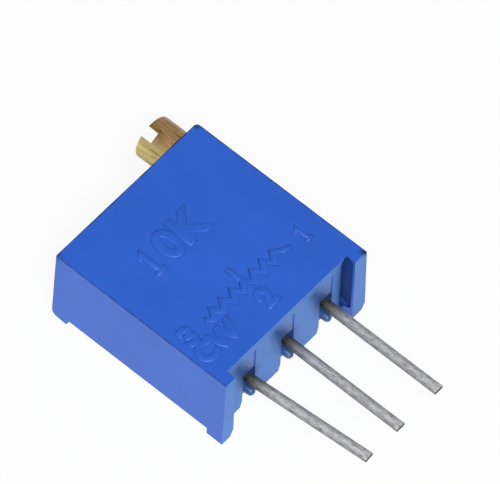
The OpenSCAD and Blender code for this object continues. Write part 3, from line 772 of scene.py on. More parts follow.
POST_BELOW_SCREW, POST_IN_ROOF = 0.42, 0.2
TAIL_SEAT, TAIL_BORE, TAIL_PLAY, BORE_LAP = 0.9, 0.45, 0.1, 0.3
# Shares of painted sheen on the board side and the plain side; FACING is how square a face must be to count
# as one side.
SHEEN_BOARD_SIDE, SHEEN_PLAIN_SIDE, FACING = 1.0, 0.2, 0.7
# Shares of painted shade on the rounded edges of the floor, feet and back, and in the relief.
FLOOR_EDGE_SHADE, FOOT_EDGE_SHADE, BACK_EDGE_SHADE, RELIEF_SHADE = 0.55, 0.1, 0.6, 0.6


def slot_sides(sizes, x):
    """The two sides of the slot of the wire at x."""
    centre, half = x + sizes.slot_shift, sizes.slot_width / 2
    return centre - half, centre + half


def slot_flares(sizes):
    """How far the two sides of a slot flare at the back."""
    return sizes.plain_flare, sizes.screw_flare


def case_blank(sizes, face_z):
    """The case before it is cut: leaning walls, a rounded heel, corners and marked face."""
    lean = sizes.wall_lean
    bm = bmesh.new()
    for vert in block(bm, CASE_LOW, (CASE_HIGH.x, CASE_HIGH.y, face_z)):
        if vert.co.z > 0:
            vert.co.x -= math.copysign(lean, vert.co.x)
            if vert.co.y > CASE_LOW.y + NEAR:
                vert.co.y -= lean
    heel = [e for e in bm.edges if middle(e).y > CASE_HIGH.y - NEAR and middle(e).z < CASE_LOW.z + NEAR]
    bevel(bm, heel, sizes.foot_heel, segments=8)
    for side, radius in ((-1, sizes.plain_corner), (1, sizes.screw_corner)):
        upright = [e for e in bm.edges if any(f.normal.x * side > 0.9 for f in e.link_faces)
                   and any(f.normal.y > 0.05 for f in e.link_faces)]
        bevel(bm, upright, radius, segments=6)
    rim = [e for e in bm.edges if min(v.co.z for v in e.verts) > face_z - NEAR
           and middle(e).y > CASE_LOW.y + NEAR]
    bevel(bm, rim, sizes.face_round, segments=4)
    return solid(bm, "case_blank")


def relief_cut(sizes, floor, face_z):
    """The oval relief under the foot, with a rounded lead-in from the floor that narrows at both ends."""
    half, lead, fade = sizes.relief_width / 2, sizes.relief_lead, sizes.relief_fade
    centre = CASE_HIGH.x - sizes.screw_foot + sizes.relief_bite - half
    ends = BACK_Z + sizes.relief_back + half, face_z - sizes.relief_front - half
    mid = (ends[0] + ends[1]) / 2
    lip = CASE_LOW.y + sizes.relief_lip
    bm = bmesh.new()
    segments = 32
    place = (Matrix.Translation((centre, lip, mid)) @ Matrix.Rotation(math.pi / 2, 4, "X")
             @ Matrix.Rotation(math.pi / segments, 4, "Z"))
    bmesh.ops.create_circle(bm, cap_ends=False, radius=half, segments=segments, matrix=place)
    for vert in bm.verts:
        vert.co.z += math.copysign((ends[1] - ends[0]) / 2, vert.co.z - mid)
    straight = [e for e in bm.edges if e.calc_length() > half]
    bmesh.ops.subdivide_edges(bm, edges=straight, cuts=40)
    corner = sizes.relief_corner
    turns = [math.pi / 2 * step / QUARTER_STEPS for step in range(QUARTER_STEPS + 1)]
    levels = [(lip + corner * (1 - math.cos(turn)), lead, corner * (1 - math.sin(turn))) for turn in turns]
    levels += [(floor + lead * (1 - math.cos(turn)), lead * (1 - math.sin(turn)), 0.0) for turn in turns]
    levels.append((floor + sizes.relief_depth, 0.0, 0.0))
    ring, verts = list(bm.edges), list(bm.verts)
    reach = (ends[1] - ends[0]) / 2 + half
    last_y, last_spread, last_short = lip, 0.0, 0.0
    for y, spread, short in levels:
        if y > last_y:
            ring, verts = drag(bm, ring, (0, y - last_y, 0))
        for vert in verts:
            full = mid + (vert.co.z - mid) * reach / (reach - last_short)
            if vert.co.x < centre:
                over = max(0.0, 1 - (reach - abs(full - mid)) / fade)
                vert.co.x -= (spread - last_spread) * math.sqrt(max(0.0, 1 - over ** 2))
            vert.co.z = mid + (full - mid) * (reach - short) / reach
        last_y, last_spread, last_short = y, spread, short
    close_ends(bm)
    return solid(bm, "relief")


def case_cuts(sizes, face_z):
    """Everything that is cut out of the case."""
    cuts = []

    def cut(maker, *args):
        bm = bmesh.new()
        maker(bm, *args)
        cuts.append(solid(bm, "cut"))

    floor = board_floor(sizes)
    feet = CASE_LOW.x + sizes.plain_foot, CASE_HIGH.x - sizes.screw_foot
    flank, run = sizes.foot_flank, sizes.back_foot
    below = CASE_LOW.z - OVER

    # The back, so that its four feet are left standing.
    cut(block, (CASE_LOW.x - OVER, CASE_LOW.y + run, below), (CASE_HIGH.x + OVER, CASE_HIGH.y - run, BACK_Z))
    tall = (0, CASE_HIGH.y - CASE_LOW.y + 2 * OVER, 0)
    drop = flank * OVER / (BACK_Z - CASE_LOW.z)
    low_y = CASE_LOW.y - OVER
    cut(prism, [(feet[0], low_y, BACK_Z), (feet[0] - flank - drop, low_y, below),
                (feet[1], low_y, below), (feet[1], low_y, BACK_Z)], tall)
    cut(prism, [(CASE_HIGH.x, low_y, BACK_Z), (CASE_HIGH.x - flank - drop, low_y, below),
                (CASE_HIGH.x + OVER, low_y, below), (CASE_HIGH.x + OVER, low_y, BACK_Z)], tall)

    # The terminal end.
    cut(block, (feet[0], low_y, below), (feet[1], floor, CASE_HIGH.z + OVER))
    cuts.append(relief_cut(sizes, floor, face_z))
    for x in WIRES.values():
        sides, flares = slot_sides(sizes, x), slot_flares(sizes)
        deep, mouth = sizes.slot_deep, BACK_Z + sizes.flare_length
        outline = [(sides[0], deep), (sides[1], deep), (sides[1], mouth), (sides[1] + flares[1], BACK_Z),
                   (sides[1] + flares[1], below), (sides[0] - flares[0], below),
                   (sides[0] - flares[0], BACK_Z), (sides[0], mouth)]
        cut(prism, [(px, low_y, pz) for px, pz in outline], (0, CERAMIC_LOW.y - low_y + OVER, 0))
        cut(block, (sides[0], low_y, 0),
            (sides[1], floor + sizes.slot_step, CASE_HIGH.z - sizes.slot_front))

    # The inside: ceramic's pocket, wheel's chamber, terminal bay, bores and the clip's slit.
    gap = CERAMIC_LOW.x - RESIN_LOW.x
    cut(block, (CERAMIC_LOW.x - gap, CERAMIC_LOW.y - gap, below),
        (CERAMIC_HIGH.x + gap, CERAMIC_HIGH.y + gap, CERAMIC_HIGH.z + 2 * gap))
    cut(round_post, WHEEL_AXIS, WHEEL_HIGH.y - WHEEL_AXIS.y + sizes.wheel_gap,
        CERAMIC_HIGH.z - OVER, WHEEL_HIGH.z + RUNNING_GAP)
    bay_x = SOLDER_HIGH.x + 4 * gap
    cut(block, (-bay_x, CERAMIC_LOW.y - gap, CERAMIC_HIGH.z - OVER),
        (bay_x, SOLDER_HIGH.y + 4 * gap, SOLDER_HIGH.z))
    tail, bore = SCREW_LOW.y + TAIL_SEAT, CLIP_HIGH.x - SCREW_AXIS.x - 3 * RUNNING_GAP
    cut(round_bar, SCREW_AXIS, bore, tail, CASE_HIGH.y + OVER)
    cut(round_bar, SCREW_AXIS, TAIL_BORE, SCREW_LOW.y - TAIL_PLAY, tail + BORE_LAP)
    cut(block, (CLIP_LOW.x - RUNNING_GAP, CLIP_LOW.y - RUNNING_GAP, CERAMIC_HIGH.z - OVER),
        (CLIP_HIGH.x + RUNNING_GAP, CLIP_HIGH.y + RUNNING_GAP, CLIP_HIGH.z + RUNNING_GAP))
    return cuts


def paint_case(bm, sizes, face_z):
    """Keeps on the faces where the case has a painted sheen, has a film of resin or has painted shade in the
    relief.
    """
    layers = bm.faces.layers.float
    line, film, sheen = (layers.new(name) for name in ("edge_line", "resin_film", "washed_out"))
    floor, lead = board_floor(sizes), sizes.relief_lead
    step, relief_top = floor + sizes.slot_step, floor + sizes.relief_depth
    foot_x = CASE_HIGH.x - sizes.screw_foot
    for face in bm.faces:
        at, normal = face.calc_center_median(), face.normal
        # Painted sheen: full on the faces towards the board, faint on the plain side.
        if normal.y < -FACING:
            face[sheen] = SHEEN_BOARD_SIDE
            face[film] = float(abs(at.y - step) < NEAR)
        elif normal.x < -FACING:
            face[sheen] = SHEEN_PLAIN_SIDE
        # Painted shade in the relief, growing across its lead-in towards the foot.
        in_lead = foot_x - 1.2 * lead < at.x < foot_x and at.y > floor + NEAR
        in_foot = foot_x + NEAR < at.x < foot_x + sizes.relief_bite + NEAR and at.y > CASE_LOW.y + NEAR
        if (in_lead or in_foot) and at.y < relief_top + NEAR and BACK_Z < at.z < face_z - NEAR:
            share = 1.0 if normal.z > 0.3 else 1.2 * (at.x - foot_x + lead) / lead
            face[line] = min(RELIEF_SHADE, max(0.0, share))
    return line


class TRIMMER_OT_housing(bpy.types.Operator):
    """Models the moulded case with its feet, slots and hollow inside"""

    bl_idname = "trimmer.housing"
    bl_label = "Housing"

    def execute(self, context):
        sizes, face_z = in_mm(context.scene.trimmer_housing), marked_face(context.scene)
        floor, front = board_floor(sizes), CASE_HIGH.z - sizes.slot_front
        bm = combine(case_blank(sizes, face_z), case_cuts(sizes, face_z), "DIFFERENCE")
        post = bmesh.new()
        round_post(post, WHEEL_AXIS, sizes.post / 2, SCREW_AXIS.z - POST_BELOW_SCREW,
                   WHEEL_HIGH.z + POST_IN_ROOF)
        bm = combine(solid(bm, "case"), [solid(post, "post")], "UNION")
        line = paint_case(bm, sizes, face_z)

        def at_floor(edge):
            return all(abs(v.co.y - floor) < NEAR for v in edge.verts)

        def at_foot(edge):
            return min(v.co.y for v in edge.verts) < floor - NEAR

        def at_back(edge):
            return max(v.co.z for v in edge.verts) < BACK_Z + NEAR

        # Painted shade on the rounded edges of the floor, the feet and the back.
        for shows, dark in ((at_floor, FLOOR_EDGE_SHADE), (at_foot, FOOT_EDGE_SHADE), (at_back, BACK_EDGE_SHADE)):
            edges = [e for e in bm.edges if sharp(e) and shows(e)]
            for face in bevel(bm, edges, sizes.edge_round, segments=2):
                face[line] = dark if face.calc_center_median().z < front + NEAR else 0.0
        finish_piece(bm, "moulded_case", "case",
                     case_material(context.scene), ["housing"])
        return {"FINISHED"}


# Raised marks

# Places on the marked face as (x, y) in millimetres; a font of size FONT_SIZE has capitals 1 high.
FONT_SIZE = 1.4
ZIGZAG_START, ZIGZAG_END = [(-2.75, 2.92), (-2.42, 2.62)], [(2.2, 2.76), (2.62, 2.6)]
ZIGZAG_PEAK, ZIGZAG_DIP, ZIGZAG_STEP, ZIGZAG_WAVES = (-2.15, 3.05), (-1.82, 2.6), 0.662, 7
TAP = [(-0.16, 3.95), (-0.16, 2.95)]
ONE_PLACE, VALUE_ONE_PLACE = (3.46, 2.7), (-2.1, 6.6)
TWO_PLACE, THREE_PLACE, TURN_PLACE, VALUE_PLACE = (-0.05, 1.69), (-3.81, 2.84), (-3.2, 1.76), (-0.2, 6.6)
LAP_SHARE = 0.96
MARK_SLOPE_SHADE = 0.42


def text_marks(body, height, bold, rise, slope, place):
    """Raised letters with rounded sides, with the middle of their tops at a place."""
    curve = bpy.data.curves.new("mark", "FONT")
    curve.body = body
    curve.size = height * FONT_SIZE
    curve.align_x = "CENTER"
    curve.align_y = "CENTER"
    curve.offset = bold
    curve.resolution_u = 6
    curve.extrude = slope / 2
    curve.bevel_depth = slope
    curve.bevel_resolution = 2
    shape = bpy.data.objects.new("mark", curve)
    bpy.context.scene.collection.objects.link(shape)
    bpy.context.view_layer.update()
    mesh = bpy.data.meshes.new_from_object(shape.evaluated_get(bpy.context.evaluated_depsgraph_get()))
    bm = bmesh.new()
    bm.from_mesh(mesh)
    bpy.data.objects.remove(shape)
    bpy.data.curves.remove(curve)
    bpy.data.meshes.remove(mesh)
    bmesh.ops.remove_doubles(bm, verts=bm.verts, dist=NEAR)
    bmesh.ops.collapse(bm, edges=[e for e in bm.edges if len(e.link_faces) > 2])
    bmesh.ops.recalc_face_normals(bm, faces=bm.faces)
    bmesh.ops.translate(bm, vec=(0, 0, -(slope / 2 + slope)), verts=bm.verts)
    bmesh.ops.scale(bm, vec=(1, 1, rise / slope), verts=bm.verts)
    bmesh.ops.translate(bm, vec=place, verts=bm.verts)
    return bm


def ribbon_faces(points, width, z):
    """A flat line of even width through points, with mitred corners, as a bmesh."""
    points = [Vector(point) for point in points]
    steps = [(end - start).normalized() for start, end in zip(points, points[1:])]
    bm = bmesh.new()
    rails = [], []
    for i, point in enumerate(points):
        before, after = steps[max(i - 1, 0)], steps[min(i, len(steps) - 1)]
        along = (before + after).normalized()
        across = Vector((-along.y, along.x)) * width / 2 / max(0.45, along.dot(after))
        for rail, corner in zip(rails, (point - across, point + across)):
            rail.append(bm.verts.new((*corner, z)))
    edges = [bm.edges.new(pair) for rail in rails for pair in zip(rail, rail[1:])]
    bmesh.ops.bridge_loops(bm, edges=edges)
    return bm


def raise_faces(bm, rise, slope):
    """Turns flat faces into raised ones with sloped sides, rooted below the face of the case."""
    flat = list(bm.faces)
    for face in flat:
        if face.normal.z < 0:
            face.normal_flip()
    swept = bmesh.ops.extrude_face_region(bm, geom=flat, use_keep_orig=True)["geom"]
    bmesh.ops.translate(bm, vec=(0, 0, rise), verts=[v for v in swept if isinstance(v, bmesh.types.BMVert)])
    for face in flat:
        face.normal_flip()
    top = [f for f in swept if isinstance(f, bmesh.types.BMFace)]
    for width, height in ((0.45, 0.62), (0.55, 0.38)):
        bmesh.ops.inset_region(bm, faces=top, thickness=slope * width, depth=rise * height,
                               use_boundary=True, use_even_offset=True)
    return bm


class TRIMMER_OT_marks(bpy.types.Operator):
    """Models the raised resistor symbol, terminal numbers and value"""

    bl_idname = "trimmer.marks"
    bl_label = "Raised marks"

    def execute(self, context):
        sizes = in_mm(context.scene.trimmer_marks)
        rise, slope, digit, value, stroke = sizes.rise, sizes.slope, sizes.digit, sizes.value, sizes.stroke
        zigzag = list(ZIGZAG_START)
        for wave in range(ZIGZAG_WAVES):
            zigzag += [(x + ZIGZAG_STEP * wave, y) for x, y in (ZIGZAG_PEAK, ZIGZAG_DIP)]
        zigzag[-1:] = ZIGZAG_END
        lines = [(zigzag, stroke, 1.0), (TAP, stroke, LAP_SHARE)]
        for (x, y), height, width in ((ONE_PLACE, digit, stroke * 0.62), (VALUE_ONE_PLACE, value, stroke)):
            top, foot, flag = y + height / 2 - width / 2, y - height / 2 + width / 2, height * 0.22
            lines += [([(x - flag, top - flag * 0.8), (x, top), (x, foot)], width, 1.0),
                      ([(x - flag, foot), (x + flag, foot)], width, LAP_SHARE)]
        bm = bmesh.new()
        for points, width, share in lines:
            ribbon = ribbon_faces(points, width, CASE_HIGH.z - 2 * rise)
            add_bmesh(bm, raise_faces(ribbon, rise * share, min(slope, width / 3)))
        for body, height, place in (("2", digit, TWO_PLACE), ("3", digit, THREE_PLACE),
                                    ("CW", digit, TURN_PLACE), ("0K", value, VALUE_PLACE)):
            add_bmesh(bm, text_marks(body, height, sizes.bold, rise, slope, (*place, CASE_HIGH.z)))
        # Painted shade on the sloped sides of the marks.
        line = bm.faces.layers.float.new("edge_line")
        for face in bm.faces:
            if face.normal.z < 0.8:
                face[line] = MARK_SLOPE_SHADE
        finish_piece(bm, "raised_marks", "case",
                     case_material(context.scene), crease=70)
        return {"FINISHED"}


# Screw

THREAD_ANGLE, THREAD_STEPS, THREAD_PLAY, THREAD_ROOT = math.radians(20), 24, 0.035, 0.06
SCREW_SEGMENTS = 96
TAIL_CHAMFER, WORM_RUN_IN = 0.1, 0.05
SLOT_FLOOR_ROUND, SLOT_LIP_ROUND = 0.06, 0.02


def worm_thread(pitch, turns, worm_y, core, shaft, tooth):
    """The helical thread, swept from one section."""
    steps = round(turns * THREAD_STEPS)
    slope = math.tan(THREAD_ANGLE)
    half = pitch / 4 - THREAD_PLAY
    root, crest = half + (shaft - core - tooth) * slope, half - tooth * slope
    inner = core - THREAD_ROOT
    bm = bmesh.new()
    section = [bm.verts.new((SCREW_AXIS.x, worm_y + pitch / 2 + y, SCREW_AXIS.z + r))
               for r, y in ((inner, -root), (shaft, -crest), (shaft, crest), (inner, root))]
    bm.faces.new(section)
    first = Matrix.Rotation(-math.pi / 2 - math.pi * turns, 3, "Y")
    bmesh.ops.rotate(bm, cent=SCREW_AXIS, matrix=first, verts=section)
    bmesh.ops.spin(bm, geom=section + list(bm.edges), cent=SCREW_AXIS, axis=(0, 1, 0),
                   dvec=(0, turns * pitch / steps, 0), angle=2 * math.pi * turns, steps=steps,
                   use_merge=False, use_duplicate=False)
    close_ends(bm)
    return bm


def driver_slot(sizes):
    """The tool that cuts the driver slot, with rounded corners at its floor."""
    half, reach = sizes.slot_width / 2, sizes.head
    floor = SCREW_HIGH.y - sizes.slot_depth
    bm = bmesh.new()
    block(bm, (-half, floor, -reach), (half, SCREW_HIGH.y + OVER, reach))
    low = [e for e in bm.edges if max(v.co.y for v in e.verts) < floor + NEAR
           and abs(e.verts[0].co.z - e.verts[1].co.z) > reach]
    bevel(bm, low, SLOT_FLOOR_ROUND, segments=3)
    bmesh.ops.rotate(bm, cent=(0, 0, 0), matrix=Matrix.Rotation(sizes.slot_turn, 3, "Y"), verts=bm.verts)
    bmesh.ops.translate(bm, vec=(SCREW_AXIS.x, 0, SCREW_AXIS.z), verts=bm.verts)
    return solid(bm, "driver_slot")


class TRIMMER_OT_screw(bpy.types.Operator):
    """Models the slotted brass screw with its worm"""

    bl_idname = "trimmer.screw"
    bl_label = "Adjusting screw"

    def execute(self, context):
        sizes, finishes = in_mm(context.scene.trimmer_screw), context.scene.trimmer_finishes
        head, shaft, core, tail = (getattr(sizes, key) / 2 for key in ("head", "shaft", "core", "tail"))
        tooth, top = sizes.tooth, CASE_HIGH.y + sizes.head_gap
        pitch = 2 * math.pi * (SCREW_AXIS.x - shaft + tooth - WHEEL_AXIS.x) / sizes.wheel_teeth
        run = sizes.thread_turns * pitch
        worm_y = WHEEL_AXIS.y - run / 2
        clip = CLIP_LOW.y - RUNNING_GAP, CLIP_HIGH.y + RUNNING_GAP
        seal_y = CASE_HIGH.y - sizes.seal_depth
        seal = seal_y - sizes.seal_groove / 2, seal_y + sizes.seal_groove / 2
        step, shoulder = worm_y - WORM_RUN_IN, worm_y + run + pitch
        profile = [(0, SCREW_LOW.y), (tail - TAIL_CHAMFER, SCREW_LOW.y), (tail, SCREW_LOW.y + TAIL_CHAMFER),
                   (tail, step), (core, step), (core, shoulder), (shaft, shoulder),
                   (shaft, clip[0]), (core, clip[0]), (core, clip[1]), (shaft, clip[1]),
                   (shaft, seal[0]), (core, seal[0]), (core, seal[1]), (shaft, seal[1]),
                   (shaft, top), (head, top), (head, SCREW_HIGH.y), (0, SCREW_HIGH.y)]
        bm = bmesh.new()
        verts = [bm.verts.new((SCREW_AXIS.x + r, y, SCREW_AXIS.z)) for r, y in profile]
        edges = [bm.edges.new(pair) for pair in zip(verts, verts[1:])]
        bmesh.ops.spin(bm, geom=verts + edges, cent=SCREW_AXIS, axis=(0, 1, 0), dvec=(0, 0, 0),
                       angle=2 * math.pi, steps=SCREW_SEGMENTS, use_merge=True, use_duplicate=False)
        bmesh.ops.remove_doubles(bm, verts=bm.verts, dist=NEAR)
        bmesh.ops.recalc_face_normals(bm, faces=bm.faces)
        rim = [e for e in bm.edges if sharp(e) and min(v.co.y for v in e.verts) > SCREW_HIGH.y - NEAR]
        bevel(bm, rim, sizes.rim_round, segments=4)
        bm = combine(solid(bm, "screw"), [driver_slot(sizes)], "DIFFERENCE")
        lips = [e for e in bm.edges if sharp(e, 40) and middle(e).y > top + 0.1]
        bevel(bm, lips, SLOT_LIP_ROUND, segments=2)
        add_bmesh(bm, worm_thread(pitch, sizes.thread_turns, worm_y, core, shaft, tooth))
        brass = drawn_material("turned_brass", finishes.brass, finishes.brass_dark,
                               stretch=(4.5, 0.9, 4.5), pit=5.0, rough=(0.3, 0.48), bump=0.006,
                               patch=(finishes.brass_pink, SCREW_AXIS, (0.9, 0, 0.43)), pits=0.25)
        finish_piece(bm, "brass_screw", "adjuster", brass, ["adjusting_screw"])
        return {"FINISHED"}


# Terminals

WIRE_SEGMENTS, BEND_STEPS, TIP_STEPS = 40, 6, 4
END_CLEARANCE = 1.02
# END_DARK is the dark of the cut ends; PINCH_DARK is painted shade on the pinched tips.
END_DARK, PINCH_DARK = 0.9, 0.08
BLADE_RISE, NECK_GAP = 0.1, 0.001


def wire_rings(bm, sizes, x, lean, neck_y, low_y):
    """A round wire from its neck down to its pinched tip, bent by the lean."""
    radius, bend, tip = sizes.diameter / 2, sizes.bend, sizes.tip
    place = Matrix.Translation((x, neck_y, 0)) @ Matrix.Rotation(math.pi / 2, 4, "X")
    bmesh.ops.create_circle(bm, cap_ends=False, radius=radius, segments=WIRE_SEGMENTS, matrix=place)
    ring = list(bm.edges)
    if lean:
        spun = bmesh.ops.spin(bm, geom=list(bm.verts) + ring, cent=(x + bend, neck_y, 0), axis=(0, 0, 1),
                              dvec=(0, 0, 0), angle=lean, steps=BEND_STEPS, use_merge=False,
                              use_duplicate=False)
        ring = [e for e in spun["geom_last"] if isinstance(e, bmesh.types.BMEdge)]
    down = Vector((math.sin(lean), -math.cos(lean), 0))
    bend_end = neck_y - bend * math.sin(lean)
    reach = (bend_end - low_y - END_CLEARANCE * radius * math.sin(lean)) / math.cos(lean)
    for share in (0.25, 0.5, 0.25):
        ring = drag(bm, ring, down * (reach - tip) * share)[0]
    for step in range(1, TIP_STEPS + 1):
        ring, verts = drag(bm, ring, down * tip / TIP_STEPS)
        flat = radius + (sizes.tip_thickness / 2 - radius) * step / TIP_STEPS
        axis_x = sum(vert.co.x for vert in verts) / len(verts)
        for vert in verts:
            vert.co.z = max(-flat, min(flat, vert.co.z))
            vert.co.x += (vert.co.x - axis_x) * sizes.tip_spread / TIP_STEPS
    close_ends(bm)
    cut_end_and_shade = bm.faces.layers.float.new("cut_end_and_shade")
    for face in bm.faces:
        if len(face.verts) > 4:
            face[cut_end_and_shade] = END_DARK
        elif face.calc_center_median().y < low_y + tip:
            face[cut_end_and_shade] = PINCH_DARK


class TRIMMER_OT_terminals(bpy.types.Operator):
    """Models the three tinned wires with their pinched tips"""

    bl_idname = "trimmer.terminals"
    bl_label = "Terminals"

    def execute(self, context):
        scene = context.scene
        sizes, finishes = in_mm(scene.trimmer_wires), scene.trimmer_finishes
        floor = board_floor(in_mm(scene.trimmer_housing))
        neck_y = floor - sizes.neck_drop
        blade_y = floor + in_mm(scene.trimmer_resin).sink + BLADE_RISE
        neck, blade, radius = sizes.neck / 2, sizes.blade / 2, sizes.diameter / 2
        tin = drawn_material("dull_tin", finishes.wire_grey, finishes.wire_dark, stretch=(13.0, 3.2, 13.0),
                             pit=16.0, rough=(0.58, 0.75), bump=0.005,
                             dull=((-0.18, 0.07), (-0.9, 0.35)), pits=0.35)
        for name, x in WIRES.items():
            low, high = span(name)
            bm = bmesh.new()
            wire_rings(bm, sizes, x, sizes.lean if name == "terminal_3" else 0.0, neck_y, low.y)
            block(bm, (x - neck, neck_y + NECK_GAP, -neck), (x + neck, blade_y, neck))
            block(bm, (x - blade, blade_y, -radius), (x + blade, high.y, sizes.blade_thickness - radius))
            finish_piece(bm, name + "_wire", "case", tin, [name], crease=40)
        return {"FINISHED"}


# Resin

SLAB_PARTS, TONGUE_PARTS = (48, 48), (32, 88)
SLAB_EDGE, SLAB_RIPPLE, SLAB_RIPPLE_SCALE = 0.35, 0.35, 0.6
WALL_CREEP, TONGUE_RIPPLE, TONGUE_RIPPLE_SCALE = 0.09, 0.012, 3.0
RIPPLE_LAYER = 3.7


def ripple(x, y, scale):
    """A smooth uneven height from -1 to 1, the same on each run."""
    return noise.noise(Vector((x * scale, y * scale, RIPPLE_LAYER)))


def grid_block(bm, size_x, size_y, depth, parts_x, parts_y):
    """A box with a fine grid for its lower side, centred on the origin; returns the grid's vertices."""
    grid = bmesh.ops.create_grid(bm, x_segments=parts_x, y_segments=parts_y, size=0.5)["verts"]
    bmesh.ops.scale(bm, vec=(size_x, size_y, 1), verts=grid)
    drag(bm, [e for e in bm.edges if len(e.link_faces) == 1], (0, 0, depth))
    close_ends(bm)
    return grid


def resin_slab(sizes):
    """The slab behind the ceramic, a little sunk in the middle."""
    low = Vector((RESIN_LOW.x, CERAMIC_LOW.y - (CERAMIC_LOW.x - RESIN_LOW.x), BACK_Z))
    high = Vector((RESIN_HIGH.x, RESIN_HIGH.y, CERAMIC_LOW.z))
    bm = bmesh.new()
    grid = grid_block(bm, high.x - low.x, high.y - low.y, high.z - low.z, *SLAB_PARTS)
    bmesh.ops.translate(bm, vec=((low.x + high.x) / 2, (low.y + high.y) / 2, low.z), verts=bm.verts)
    for vert in grid:
        edge = min(vert.co.x - low.x, high.x - vert.co.x, vert.co.y - low.y, high.y - vert.co.y)
        sag = sizes.dish * (1 - math.exp(-edge / SLAB_EDGE))
        vert.co.z += sag * (1 + SLAB_RIPPLE * ripple(vert.co.x, vert.co.y, SLAB_RIPPLE_SCALE))
    return solid(bm, "resin_slab")


def resin_tongue(sizes, case, wires, x):
    """The resin in one slot: it climbs the walls and the wire, and a bead of it stands behind the wire."""
    level = board_floor(case) + sizes.sink
    sides, flares = slot_sides(case, x), slot_flares(case)
    deep, run = case.slot_deep, case.flare_length
    radius, bead = wires.diameter / 2, sizes.bead
    lump = Vector((sides[1] - bead - RUNNING_GAP, -sizes.bead_back))
    bm = bmesh.new()
    grid = grid_block(bm, sides[1] - sides[0], deep - BACK_Z, CERAMIC_LOW.y - level, *TONGUE_PARTS)
    bmesh.ops.rotate(bm, cent=(0, 0, 0), matrix=Matrix.Rotation(-math.pi / 2, 3, "X"), verts=bm.verts)
    bmesh.ops.translate(bm, vec=((sides[0] + sides[1]) / 2, level, (deep + BACK_Z) / 2), verts=bm.verts)
    for vert in grid:
        spot = Vector((vert.co.x, vert.co.z))
        wall = min(vert.co.x - sides[0], sides[1] - vert.co.x, deep - vert.co.z)
        gap = max(0.0, (spot - Vector((x, 0))).length - radius)
        away = (spot - lump).length / bead
        rise = max(sizes.climb * math.exp(-wall / WALL_CREEP), sizes.collar * math.exp(-gap / sizes.creep))
        if away < 1:
            rise = max(rise, sizes.sink + bead * math.sqrt(1 - away * away))
        vert.co.y -= rise + TONGUE_RIPPLE * ripple(vert.co.x, vert.co.z, TONGUE_RIPPLE_SCALE)
    for vert in bm.verts:
        share = max(0.0, 1 - (vert.co.z - BACK_Z) / run) / (sides[1] - sides[0])
        vert.co.x += share * ((vert.co.x - sides[0]) * flares[1] - (sides[1] - vert.co.x) * flares[0])
    return solid(bm, "resin_tongue")


class TRIMMER_OT_resin(bpy.types.Operator):
    """Models the resin that closes the back and creeps up the wires"""

    bl_idname = "trimmer.resin"
    bl_label = "Resin"

    def execute(self, context):
        scene = context.scene
        sizes, case, wires = map(in_mm, (scene.trimmer_resin, scene.trimmer_housing, scene.trimmer_wires))
        tongues = [resin_tongue(sizes, case, wires, x) for x in WIRES.values()]
        bm = combine(resin_slab(sizes), tongues, "UNION")
        finish_piece(bm, "resin_back", "case", resin_material(scene.trimmer_finishes),
                     ["resin_fill"], crease=60)
        return {"FINISHED"}


# Inner pieces

class TRIMMER_OT_inner(bpy.types.Operator):
    """Gives the pieces inside the case their finishes"""

    bl_idname = "trimmer.inner"
    bl_label = "Inner pieces"

    def execute(self, context):
        ceramic = grained_material("fired_ceramic", (0.86, 0.84, 0.78), 1.2, 14.0, 0.04, (0.5, 0.7), 0.006)
        track = grained_material("resistive_ink", (0.022, 0.02, 0.018), 2.0, 20.0, 0.25, (0.4, 0.6), 0.008)
        land = grained_material("silver_ink", (0.62, 0.60, 0.54), 2.0, 18.0, 0.1, (0.35, 0.55), 0.006,
                                metallic=1.0)
        solder = grained_material("soft_solder", (0.55, 0.56, 0.57), 2.0, 9.0, 0.12, (0.2, 0.4), 0.01,
                                  metallic=1.0)
        rubber = grained_material("seal_rubber", (0.32, 0.05, 0.025), 1.5, 16.0, 0.1, (0.55, 0.75), 0.006)
        wheel = grained_material("wheel_plastic", (0.76, 0.72, 0.6), 0.8, 10.0, 0.05, (0.35, 0.5), 0.005)
        steel = drawn_material("clip_steel", (0.6, 0.6, 0.59), (0.3, 0.3, 0.3), (4.0, 4.0, 0.6), 6.0,
                               (0.25, 0.4), 0.004)
        spring = drawn_material("spring_strip", (0.72, 0.52, 0.24), (0.45, 0.28, 0.1), (0.8, 5.0, 5.0), 7.0,
                                (0.2, 0.35), 0.003)
        finishes = {"ceramic_base": ceramic, "resistive_track": track, "collector_track": land,
                    "end_land_1": land, "end_land_3": land, "solder_joint_1": solder,
                    "solder_joint_2": solder, "solder_joint_3": solder, "seal_ring": rubber,
                    "retaining_clip": steel, "worm_wheel": wheel, "wiper_spring": spring}
        for name, material in finishes.items():
            slots = frame["nodes"][name].data.materials
            slots.clear()
            slots.append(material)
        return {"FINISHED"}


# Stage

# Metres, with the middle of the case near the origin.
KEY_PLACE, KEY_SIZE = (-0.119, -0.166, 0.297), 0.18
SIDE_PLACE, SIDE_SIZE = (-0.285, -0.125, 0.176), 0.25
FLOOR_SIZE = 1.5
SENSOR_WIDTH = 36.0
CAMERA_NEAR = 0.01
# How much of the white shows on the floor and in the sky, to the camera and in reflections.
FLOOR_SEEN, FLOOR_MIRRORED, SKY_MIRRORED = 0.92, 0.6, 0.85


def seen_share(tree, camera, glossy):
    """A value that is one number for what the camera sees and another for what reflections show."""
    path = tree.nodes.new("ShaderNodeLightPath")
    mirrored = math_node(tree, "MAXIMUM", path.outputs["Is Glossy Ray"], path.outputs["Is Transmission Ray"])
    shown = math_node(tree, "MULTIPLY", mirrored, glossy)
    return math_node(tree, "MULTIPLY_ADD", path.outputs["Is Camera Ray"], camera, shown)


